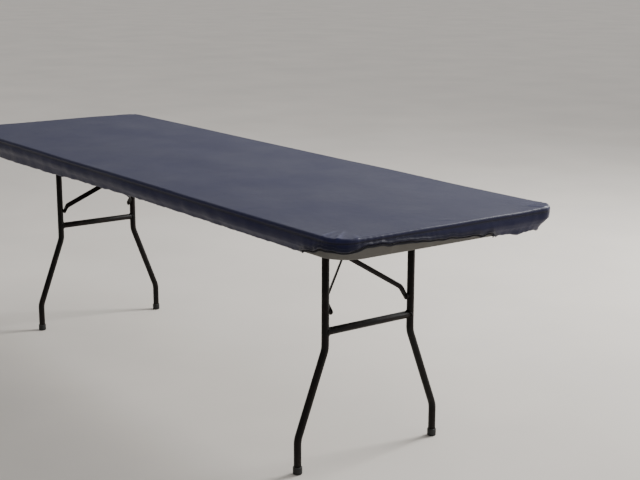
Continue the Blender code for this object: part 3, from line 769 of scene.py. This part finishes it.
    def flat(self, along, down):
        """The same place on the flat cut, in metres."""
        start, normal = self.edge.at(along)
        return start + normal * (down - EDGE_RADIUS)[..., None]


def new_piece(name, mesh, slot):
    """An object for a finished mesh, smooth, with its slot's material."""
    mesh.materials.clear()
    mesh.materials.append(finish_of(slot))
    piece = bpy.data.objects.new(name, mesh)
    bpy.context.scene.collection.objects.link(piece)
    return piece


def mesh_of(name, points, faces):
    mesh = bpy.data.meshes.new(name)
    mesh.from_pydata([tuple(p) for p in points], [], faces)
    mesh.validate()
    mesh.shade_smooth()
    return mesh


def face_outwards(mesh):
    """Turns the faces of a closed or nearly closed mesh outwards, with the highest one up."""
    bm = bmesh.new()
    bm.from_mesh(mesh)
    bmesh.ops.recalc_face_normals(bm, faces=bm.faces)
    highest = max(bm.faces, key=lambda face: face.calc_center_median().z)
    if highest.normal.z < 0:
        bmesh.ops.reverse_faces(bm, faces=bm.faces)
    bm.to_mesh(mesh)
    bm.free()


def set_flat_map(mesh, flat):
    """Lays the flat cut's places, in metres, on the mesh as its UV map."""
    layer = mesh.uv_layers.new(name="flat cut")
    corner = np.zeros(len(mesh.loops), int)
    mesh.loops.foreach_get("vertex_index", corner)
    layer.data.foreach_set("uv", flat[corner].astype(np.float32).ravel())


def set_value(mesh, name, values):
    attribute = mesh.attributes.new(name, "FLOAT", "POINT")
    attribute.data.foreach_set("value", values.astype(np.float32))


def baked(piece, name):
    """A plain mesh of a piece with its modifiers applied. The piece itself is removed."""
    graph = bpy.context.evaluated_depsgraph_get()
    mesh = bpy.data.meshes.new_from_object(piece.evaluated_get(graph))
    mesh.name = name
    bpy.data.objects.remove(piece)
    return mesh


def strip_faces(rows, columns, closed=False):
    """Quads between rows of points that run round a loop. Closed joins the last row to the first."""
    faces = []
    for row in range(rows if closed else rows - 1):
        here, there = row * columns, (row + 1) % rows * columns
        for i in range(columns):
            j = (i + 1) % columns
            faces.append((here + i, there + i, there + j, here + j))
    return faces


def inner_grid(edge, inward, pitch, near_pitch):
    """Points for the top inside its first row, closer together at the corners."""
    half = edge.half - inward
    points = []
    for spacing, zone in ((pitch, "middle"), (near_pitch, "corner")):
        counts = np.ceil(2 * half / spacing).astype(int)
        xs = np.linspace(-half[0], half[0], counts[0] + 1)
        ys = np.linspace(-half[1], half[1], counts[1] + 1)
        grid = np.stack(np.meshgrid(xs, ys), -1).reshape(-1, 2)
        near = (half - np.abs(grid) < CORNER_ZONE).all(-1)
        keep = near if zone == "corner" else ~near
        keep &= rounded_distance(grid, half, CORNER_RADIUS - inward) < -0.8 * spacing
        points.append(grid[keep])
    return np.concatenate(points)


def panel_faces(ring, inner):
    """Triangles that join a ring of points to the points inside it, numbered ring first.

    The ring is bowed outwards for the triangulation, so that no face forms along a straight side.
    """
    half = np.abs(ring).max(0)
    bowed = ring * (1 + 0.03 * (1 - (ring[:, ::-1] / half[::-1]) ** 2))
    count = len(ring)
    loop = [(i, (i + 1) % count) for i in range(count)]
    points = [Vector(p) for p in np.concatenate([bowed, inner])]
    made = geometry.delaunay_2d_cdt(points, loop, [], 1, 1e-9, True)
    source = [group[0] for group in made[3]]
    if sorted(source) != list(range(count + len(inner))):
        raise RuntimeError("a panel did not mesh cleanly")
    return [tuple(source[i] for i in face) for face in made[2]]


def joined(faces, columns, last_row, first):
    """Panel faces renumbered: ring points lie in the last row, inner points follow from the first."""
    return [tuple(last_row + i if i < columns else first + i - columns for i in face) for face in faces]


def make_fitted_cover():
    """The sewn skin: the top panel and the band that turns under the rim."""
    settings = bpy.context.scene.cover_settings
    shape = CoverShape(settings)
    columns = shape.columns
    rim = shape.rim
    shares = np.concatenate([
        np.linspace(0, 0.016, 8),
        np.linspace(0.016, rim.lean + 0.012, 8)[1:],
        np.linspace(rim.lean + 0.012, rim.length, 14)[1:],
    ]) / rim.length
    down = shares[:, None] * shape.hem(shape.along)[None, :]
    margin = np.array([1, 0.74, 0.50, 0.30, 0.13])[:, None] * -settings.margin
    down = np.concatenate([np.tile(margin, (1, columns)), down])
    along = np.tile(shape.along, (len(down), 1))
    band = shape.place(along, down)
    flat_band = shape.flat(along, down)
    rows = len(down)
    inner = inner_grid(shape.edge, EDGE_RADIUS + settings.margin, settings.grid_pitch, CORNER_PITCH)
    inward = EDGE_RADIUS + settings.margin
    start, normal = shape.edge.at(shape.along)
    outline = start - normal * inward
    level = np.full(len(inner), TOP_HIGH.z + settings.clearance)
    raised = shape.lifted(np.column_stack([inner, level]), np.ones(len(inner)))
    points = np.concatenate([band.reshape(-1, 3), raised])
    first = rows * columns
    faces = strip_faces(rows, columns)
    faces += joined(panel_faces(outline, inner), columns, 0, first)
    mesh = mesh_of("fitted cover skin", points, faces)
    flat = np.concatenate([flat_band.reshape(-1, 2), inner])
    set_flat_map(mesh, flat)
    # Painted shade: darker along the seam groove under the edge and over the low band towards the hem
    painted_hem_shade = 0.75 * ramp(0.021 + down - shape.hem(shape.along), 0.014)
    seam = np.maximum(bump(down, SEAM_DOWN, 0.0030), painted_hem_shade)
    set_value(mesh, "seam", np.concatenate([seam.ravel(), np.zeros(len(inner))]))
    # The corner fold crests, for the painted highlight on their ridges
    lifts = shape.corner_lift(points[:, 0], points[:, 1]) / settings.corner_folds
    lifts[:first] *= np.clip(1 - down / 0.012, 0, 1).ravel()
    set_value(mesh, "crest", np.clip(lifts * 1.4, 0, 1))
    face_outwards(mesh)
    piece = new_piece("cover_skin", mesh, "cover")
    wall = piece.modifiers.new("cloth thickness", "SOLIDIFY")
    wall.thickness = settings.thickness
    wall.offset = -1.0
    piece = new_piece("navy_cover", baked(piece, "navy_cover"), "cover")
    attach(piece, "table")
    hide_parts("fitted_cover")


def make_hem_elastic():
    """The elastic cord that lies against the hem's edge all the way round."""
    hem = bpy.context.scene.hem_settings
    shape = CoverShape(bpy.context.scene.cover_settings)
    radius = hem.elastic / 2
    rim = RimLine(bpy.context.scene.cover_settings.turn_under + 2 * RIM_FOOT_EDGE + hem.elastic)
    down = shape.hem(shape.along) + radius + 0.0012
    sides = 10
    along = np.tile(shape.along, (sides, 1))
    turn = (np.arange(sides) * 2 * pi / sides)[:, None]
    pucker = 1 + 0.06 * np.cos(2 * pi * round(shape.edge.total / 0.006) * along / shape.edge.total)
    out = radius * pucker * np.cos(turn)
    run = radius * pucker * np.sin(turn)
    inward, height, _ = rim.at(np.tile(down, (sides, 1)) + run, radius + 0.0010 + out)
    flat = shape.edge.inset(along, inward, height)
    points = np.concatenate([flat, height[..., None]], -1).reshape(-1, 3)
    faces = strip_faces(sides, shape.columns, closed=True)
    mesh = mesh_of("hem elastic cord", points, faces)
    set_flat_map(mesh, np.stack([along.ravel(), (turn * radius + 0 * along).ravel()], -1))
    face_outwards(mesh)
    piece = new_piece("hem_elastic_cord", mesh, "elastic")
    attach(piece, "table")
    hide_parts("hem_elastic")


# ---------------------------------------------------------------- bodies laid along a path


def path_tree():
    """Small round bodies laid along a path: apart they are stitches, overlapping a weld bead."""
    tree = bpy.data.node_groups.get("bodies along a path")
    if tree:
        return tree
    tree = bpy.data.node_groups.new("bodies along a path", "GeometryNodeTree")
    face = tree.interface
    face.new_socket("Path", in_out="INPUT", socket_type="NodeSocketGeometry")
    for name in ("Pitch", "Length", "Radius", "Unevenness"):
        face.new_socket(name, in_out="INPUT", socket_type="NodeSocketFloat")
    face.new_socket("Seed", in_out="INPUT", socket_type="NodeSocketInt")
    face.new_socket("Finish", in_out="INPUT", socket_type="NodeSocketMaterial")
    face.new_socket("Bodies", in_out="OUTPUT", socket_type="NodeSocketGeometry")
    nodes, link = tree.nodes, tree.links.new
    start, end = nodes.new("NodeGroupInput"), nodes.new("NodeGroupOutput")
    curve = nodes.new("GeometryNodeMeshToCurve")
    points = nodes.new("GeometryNodeResampleCurve")
    points.mode = "LENGTH"
    ball = nodes.new("GeometryNodeMeshUVSphere")
    ball.inputs["Segments"].default_value = 6
    ball.inputs["Rings"].default_value = 5
    ball.inputs["Radius"].default_value = 1.0
    shaped = nodes.new("GeometryNodeTransform")
    size = nodes.new("ShaderNodeCombineXYZ")
    half = nodes.new("ShaderNodeMath")
    half.operation = "MULTIPLY"
    half.inputs[1].default_value = 0.5
    tangent = nodes.new("GeometryNodeInputTangent")
    turn = nodes.new("FunctionNodeAlignRotationToVector")
    turn.axis = "Z"
    low, high = nodes.new("ShaderNodeMath"), nodes.new("ShaderNodeMath")
    low.operation, high.operation = "SUBTRACT", "ADD"
    low.inputs[0].default_value = high.inputs[0].default_value = 1.0
    random = nodes.new("FunctionNodeRandomValue")
    random.data_type = "FLOAT"
    place = nodes.new("GeometryNodeInstanceOnPoints")
    real = nodes.new("GeometryNodeRealizeInstances")
    coat = nodes.new("GeometryNodeSetMaterial")
    smooth = nodes.new("GeometryNodeSetShadeSmooth")
    link(start.outputs["Path"], curve.inputs["Mesh"])
    link(curve.outputs["Curve"], points.inputs["Curve"])
    link(start.outputs["Pitch"], points.inputs["Length"])
    link(start.outputs["Length"], half.inputs[0])
    link(start.outputs["Radius"], size.inputs["X"])
    link(start.outputs["Radius"], size.inputs["Y"])
    link(half.outputs[0], size.inputs["Z"])
    link(ball.outputs["Mesh"], shaped.inputs["Geometry"])
    link(size.outputs["Vector"], shaped.inputs["Scale"])
    link(tangent.outputs["Tangent"], turn.inputs["Vector"])
    link(start.outputs["Unevenness"], low.inputs[1])
    link(start.outputs["Unevenness"], high.inputs[1])
    shown = [s for s in random.inputs if s.enabled]
    link(low.outputs[0], [s for s in shown if s.name == "Min"][0])
    link(high.outputs[0], [s for s in shown if s.name == "Max"][0])
    link(start.outputs["Seed"], [s for s in shown if s.name == "Seed"][0])
    link(points.outputs["Curve"], place.inputs["Points"])
    link(shaped.outputs["Geometry"], place.inputs["Instance"])
    link(turn.outputs["Rotation"], place.inputs["Rotation"])
    link([s for s in random.outputs if s.enabled][0], place.inputs["Scale"])
    link(place.outputs["Instances"], real.inputs["Geometry"])
    link(real.outputs["Geometry"], smooth.inputs["Geometry"])
    link(smooth.outputs["Geometry"], coat.inputs["Geometry"])
    link(start.outputs["Finish"], coat.inputs["Material"])
    link(coat.outputs["Geometry"], end.inputs["Bodies"])
    return tree


def bodies_along(name, paths, slot, **values):
    """A plain mesh of bodies along closed or open paths of points."""
    points, edges = [], []
    for path, closed in paths:
        first = len(points)
        points += [tuple(p) for p in path]
        count = len(path)
        edges += [(first + i, first + (i + 1) % count) for i in range(count if closed else count - 1)]
    mesh = bpy.data.meshes.new(name + " path")
    mesh.from_pydata(points, edges, [])
    helper = bpy.data.objects.new(name + " path", mesh)
    bpy.context.scene.collection.objects.link(helper)
    tree = path_tree()
    modifier = helper.modifiers.new("bodies", "NODES")
    modifier.node_group = tree
    sockets = {s.name: s.identifier for s in tree.interface.items_tree if s.in_out == "INPUT"}
    for label, value in {**values, "Finish": finish_of(slot)}.items():
        modifier[sockets[label]] = value
    return new_piece(name, baked(helper, name), slot)


def make_hem_stitches():
    """The row of stitches that closes the elastic's channel, and the seam under the edge."""
    hem = bpy.context.scene.hem_settings
    shape = CoverShape(bpy.context.scene.cover_settings)
    paths = []
    for back in (0.0098, None):
        down = np.full_like(shape.along, 0.0150) if back is None else shape.hem(shape.along) - back
        points = shape.place(shape.along[None, :], down[None, :])[0]
        _, normal = shape.edge.at(shape.along)
        step = shape.place(shape.along[None, :], (down + 0.0008)[None, :])[0] - points
        outer = np.column_stack([normal, np.zeros(len(normal))])
        side = np.cross(outer, [0, 0, 1])
        away = np.cross(side, step)
        away /= np.linalg.norm(away, axis=1)[:, None]
        away *= np.where((away * outer).sum(1) - away[:, 2] * 0.6 < 0, -1, 1)[:, None]
        paths.append((points + away * hem.thread * 0.3, True))
    values = {"Pitch": hem.stitch_pitch, "Length": hem.stitch_length, "Radius": hem.thread}
    piece = bodies_along("hem_stitches", paths, "thread", Unevenness=0.08, Seed=4, **values)
    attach(piece, "table")


def make_moulded_top():
    """The moulded top with its rounded rim and the dimpled panel underneath."""
    settings = bpy.context.scene.top_settings
    edge = EdgeLine()
    rim = RimLine(RIM_FOOT - RIM_FOOT_EDGE)
    columns = 720
    along = np.arange(columns) * edge.total / columns
    downs = np.concatenate([
        np.linspace(0, 0.010, 7),
        rim.lean + np.array([-0.004, -0.0015, 0, 0.0015, 0.004]),
        rim.foot + np.array([-0.007, -0.0048, -0.0042, -0.002, 0, 0.003]),
        [rim.length],
    ])
    inward = np.interp(downs, rim.along, rim.inward)
    height = np.interp(downs, rim.along, rim.height)
    panel = TOP_HIGH.z - PANEL_THICKNESS
    wall = RIM_SLOPE + RIM_FOOT
    steps = np.linspace(0, 1, 5)[1:]
    inward = np.concatenate([inward, wall + RIM_DRAFT * steps])
    height = np.concatenate([height, TOP_LOW.z + (panel - TOP_LOW.z) * steps])
    rows = len(inward)
    shape = (rows, columns)
    height = np.broadcast_to(height[:, None], shape)
    flat = edge.inset(np.tile(along, (rows, 1)), np.broadcast_to(inward[:, None], shape), height)
    band = np.concatenate([flat, height[..., None]], -1)
    points = [tuple(p) for p in band.reshape(-1, 3)]
    faces = strip_faces(rows, columns)
    faces.append(tuple(range(columns)))
    add_underside(points, faces, band[-1], columns, rows, panel, settings)
    mesh = mesh_of("moulded top", points, faces)
    face_outwards(mesh)
    mesh.set_sharp_from_angle(angle=radians(50))
    piece = new_piece("moulded_top", mesh, "moulded_top")
    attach(piece, "table")
    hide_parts("tabletop")


def add_underside(points, faces, ring, columns, rows, panel, settings):
    """The panel's underside: a fine net with round dimples moulded up into it."""
    half = np.abs(ring[:, :2]).max(0)
    pitch, margin = 0.0075, 0.03
    counts = np.ceil(2 * half / pitch).astype(int)
    lines = [np.linspace(-h, h, n + 1)[1:-1] for h, n in zip(half, counts)]
    grid = np.stack(np.meshgrid(*lines), -1).reshape(-1, 2)
    grid = grid[rounded_distance(grid, half, margin) < -0.6 * pitch]
    x, y = grid.T
    step = settings.dimple_pitch
    row_step = step * 0.866
    row = np.round(y / row_step)
    shift = np.where(row % 2 == 0, 0, 0.5) * step
    reach = np.hypot(x - shift - np.round((x - shift) / step) * step, y - row * row_step)
    inside = (half - np.abs(grid) > margin).all(-1)
    depth = settings.dimple_depth * ramp(settings.dimple_radius - reach, 0.012) * inside
    first = len(points)
    points += [(a, b, panel + d) for a, b, d in zip(x, y, depth)]
    faces += joined(panel_faces(ring[:, :2], grid), columns, (rows - 1) * columns, first)


# ---------------------------------------------------------------- the frame under the top


def softened(node, slot, edge, angle=35):
    """A merged copy of a rigid node with soft edges and smooth round faces, in its place."""
    mesh = frame["nodes"][node].data.copy()
    mesh.name = node + "_finished"
    bm = bmesh.new()
    bm.from_mesh(mesh)
    bmesh.ops.remove_doubles(bm, verts=bm.verts, dist=MERGE)
    bmesh.ops.dissolve_limit(bm, angle_limit=radians(0.5), verts=bm.verts, edges=bm.edges)
    bm.to_mesh(mesh)
    bm.free()
    mesh.shade_smooth()
    piece = new_piece(node + "_finished", mesh, slot)
    if edge:
        soft = piece.modifiers.new("soft edges", "BEVEL")
        soft.width = edge
        soft.segments = 2
        soft.limit_method = "ANGLE"
        soft.angle_limit = radians(angle)
        soft.harden_normals = False
    mesh = baked(piece, node + "_finished")
    mesh.shade_smooth()
    mesh.set_sharp_from_angle(angle=radians(40))
    piece = new_piece(node + "_finished", mesh, slot)
    return piece


def rigid_nodes():
    """(body, node, slot) of every rigid node that keeps its shape."""
    slots = {part["node"]: part.get("material_slot") for part in frame["record"]["subparts"]}
    skip = ("tabletop", "fitted_cover", "hem_elastic")
    for body, members in frame["record"]["behaviour"]["bodies"].items():
        for node in members:
            if node not in skip:
                yield body, node, slots[node]


def make_frame_parts():
    """The rails, screws, leg sets and braces, with soft edges and their finishes."""
    edge = bpy.context.scene.metal_settings.edge
    for body, node, slot in rigid_nodes():
        piece = softened(node, slot, edge)
        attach(piece, body)
        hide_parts(node)


def ring_points(centre, axis, radius, count, reach=None):
    """A ring of points round an axis. Reach moves each point along the axis by its angle."""
    axis = axis.normalized()
    first = axis.orthogonal().normalized()
    if abs(axis.z) < 0.5:
        first = Vector((0, 0, 1))
    second = axis.cross(first)
    points = []
    for i in range(count):
        angle = 2 * pi * i / count
        point = centre + first * radius * cos(angle) + second * radius * sin(angle)
        points.append(point + axis * (reach(angle) if reach else 0.0))
    return points


def make_welds():
    """Weld beads where the crossbars, the pivot tubes and the legs meet."""
    bead = bpy.context.scene.metal_settings.weld
    for name in SETS:
        low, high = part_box(f"pivot_tube_{name}")
        pivot = (low + high) / 2
        tube = (high.z - low.z) / 2
        bar_low, bar_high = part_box(f"crossbar_{name}")
        bar = (bar_low + bar_high) / 2
        paths = []
        for side, way in zip(SIDES, (-1, 1)):
            leg_low, leg_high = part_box(f"leg_tube_{name}_{side}")
            inner = leg_high.y if way < 0 else leg_low.y
            leg_y = inner - way * -tube
            centre = Vector((pivot.x, leg_y, bar.z))
            dip = lambda angle: (tube ** 2 - (tube * sin(angle)) ** 2 * 0.96) ** 0.5
            paths.append((ring_points(centre, Vector((0, -way, 0)), tube + 0.0004, 48, dip), True))
            under = Vector((pivot.x, leg_y, pivot.z))
            sag = lambda angle: (tube ** 2 - (tube * cos(angle)) ** 2 * 0.96) ** 0.5
            paths.append((ring_points(under, Vector((0, 0, -1)), tube + 0.0004, 48, sag), True))
        values = {"Pitch": bead * 0.8, "Length": bead * 1.9, "Radius": bead}
        values.update({"Unevenness": 0.16, "Seed": 7})
        piece = bodies_along(f"weld_beads_{name}", paths, "black_enamel", **values)
        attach(piece, f"legs_{name}")


# ---------------------------------------------------------------- stage


def make_stage():
    """A pale floor, soft light from the right and behind, and the camera."""
    settings = bpy.context.scene.stage_settings
    size = 60.0
    corners = [(-size, -size, 0), (size, -size, 0), (size, size, 0), (-size, size, 0)]
    mesh = mesh_of("floor", corners, [(0, 1, 2, 3)])
    finish = Finish("pale floor", 0.85, specular=0.2)
    cloud = noise_of(finish.tree, finish.place, 1.4, 3.0, 0.5)
    color = tuple(settings.floor)
    patches = spread(finish.tree, cloud, 0.3, 0.7)
    finish.color(finish.mix(patches, scaled(color, 0.96), scaled(color, 1.04)))
    mesh.materials.append(finish.material)
    floor = bpy.data.objects.new("floor", mesh)
    floor.location.z = -0.0004
    bpy.context.scene.collection.objects.link(floor)
    make_surround(settings)
    make_camera()
    right, away = Vector((0.594, 0.805, 0)), Vector((-0.805, 0.594, 0))
    middle = Vector((0, 0, 0.6))
    add_light("key", middle + right * 3.6 + away * 1.5 + Vector((0, 0, 2.5)), middle, 1.7, settings.key)
    behind_camera = middle - away * 3.5 - right * 1.0 + Vector((0, 0, 2.2))
    add_light("fill", behind_camera, middle, 2.5, settings.fill)


def add_light(name, place, target, size, power):
    data = bpy.data.lights.new(name, "AREA")
    data.shape = "DISK"
    data.size = size
    data.energy = power
    light = bpy.data.objects.new(name, data)
    light.location = place
    light.rotation_mode = "QUATERNION"
    light.rotation_quaternion = (target - place).to_track_quat("-Z", "Y")
    bpy.context.scene.collection.objects.link(light)


def make_surround(settings):
    """A soft surround: brightest overhead, then low down beyond the table, dim on the near side."""
    world = bpy.data.worlds.new("surround")
    bpy.context.scene.world = world
    world.use_nodes = True
    tree = world.node_tree
    back = tree.nodes["Background"]
    ray = tree.nodes.new("ShaderNodeTexCoord").outputs["Generated"]
    split = tree.nodes.new("ShaderNodeSeparateXYZ")
    tree.links.new(ray, split.inputs[0])
    across = tree.nodes.new("ShaderNodeVectorMath")
    across.operation = "DOT_PRODUCT"
    across.inputs[1].default_value = (0.20, 0.98, 0.0)
    tree.links.new(ray, across.inputs[0])
    low = spread(tree, across.outputs["Value"], 0.1, 0.7, 0.26 * settings.sky, 1.25 * settings.sky)
    overhead = spread(tree, split.outputs["Z"], 0.25, 0.9, 0.0, 0.30 * settings.sky)
    back.inputs["Color"].default_value = (0.97, 0.975, 1.0, 1.0)
    tree.links.new(maths(tree, "ADD", low, overhead), back.inputs["Strength"])


def make_camera():
    """The camera: place, heading, tilt and roll of the view."""
    heading, tilt, roll = radians(53.5684), radians(12.9809), radians(0.2082)
    back = Vector((sin(heading) * cos(tilt), -cos(heading) * cos(tilt), sin(tilt)))
    level = Vector((cos(heading), sin(heading), 0))
    upright = back.cross(level)
    right = level * cos(roll) + upright * sin(roll)
    up = upright * cos(roll) - level * sin(roll)
    data = bpy.data.cameras.new("camera")
    data.lens = 71.34
    data.sensor_width = 36.0
    camera = bpy.data.objects.new("camera", data)
    turn = Matrix((right, up, back)).transposed().to_4x4()
    camera.matrix_world = Matrix.Translation((3.5854, -2.1808, 1.4445)) @ turn
    bpy.context.scene.collection.objects.link(camera)
    bpy.context.scene.camera = camera


# ---------------------------------------------------------------- operators and panel


class TABLECOVER_OT_moulded_top(bpy.types.Operator):
    """Builds the moulded table top"""
    bl_idname = "tablecover.moulded_top"
    bl_label = "Moulded Top"

    def execute(self, context):
        make_moulded_top()
        return {"FINISHED"}


class TABLECOVER_OT_fitted_cover(bpy.types.Operator):
    """Builds the sewn cover"""
    bl_idname = "tablecover.fitted_cover"
    bl_label = "Fitted Cover"

    def execute(self, context):
        make_fitted_cover()
        return {"FINISHED"}


class TABLECOVER_OT_hem(bpy.types.Operator):
    """Builds the elastic cord and the stitches of the hem"""
    bl_idname = "tablecover.hem"
    bl_label = "Hem"

    def execute(self, context):
        make_hem_elastic()
        make_hem_stitches()
        return {"FINISHED"}


class TABLECOVER_OT_frame_parts(bpy.types.Operator):
    """Finishes the rails, leg sets and braces and adds their weld beads"""
    bl_idname = "tablecover.frame_parts"
    bl_label = "Frame and Legs"

    def execute(self, context):
        make_frame_parts()
        make_welds()
        return {"FINISHED"}


class TABLECOVER_OT_stage(bpy.types.Operator):
    """Builds the floor, the lights and the camera"""
    bl_idname = "tablecover.stage"
    bl_label = "Stage"

    def execute(self, context):
        make_stage()
        return {"FINISHED"}


class TABLECOVER_PT_panel(bpy.types.Panel):
    """Sizes and colours of the covered table"""
    bl_idname = "TABLECOVER_PT_panel"
    bl_label = "Fitted Table Cover"
    bl_space_type = "VIEW_3D"
    bl_region_type = "UI"
    bl_category = "Table Cover"

    def draw(self, context):
        for kind, _ in SETTINGS:
            box = self.layout.box()
            group = getattr(context.scene, kind)
            for name in group.__annotations__:
                box.prop(group, name)
        for kind in OPERATORS:
            self.layout.operator(kind.bl_idname)


SETTINGS = (
    ("cover_settings", CoverSettings),
    ("hem_settings", HemSettings),
    ("top_settings", TopSettings),
    ("metal_settings", MetalSettings),
    ("stage_settings", StageSettings),
)
OPERATORS = (
    TABLECOVER_OT_moulded_top,
    TABLECOVER_OT_fitted_cover,
    TABLECOVER_OT_hem,
    TABLECOVER_OT_frame_parts,
    TABLECOVER_OT_stage,
)


def register():
    for name, kind in SETTINGS:
        bpy.utils.register_class(kind)
        setattr(bpy.types.Scene, name, PointerProperty(type=kind))
    for kind in OPERATORS + (TABLECOVER_PT_panel,):
        bpy.utils.register_class(kind)


def unregister():
    for kind in (TABLECOVER_PT_panel,) + OPERATORS[::-1]:
        bpy.utils.unregister_class(kind)
    for name, kind in SETTINGS[::-1]:
        delattr(bpy.types.Scene, name)
        bpy.utils.unregister_class(kind)


def main():
    register()
    bpy.ops.tablecover.moulded_top()
    bpy.ops.tablecover.fitted_cover()
    bpy.ops.tablecover.hem()
    bpy.ops.tablecover.frame_parts()
    bpy.ops.tablecover.stage()


if __name__ == "__main__":
    main()
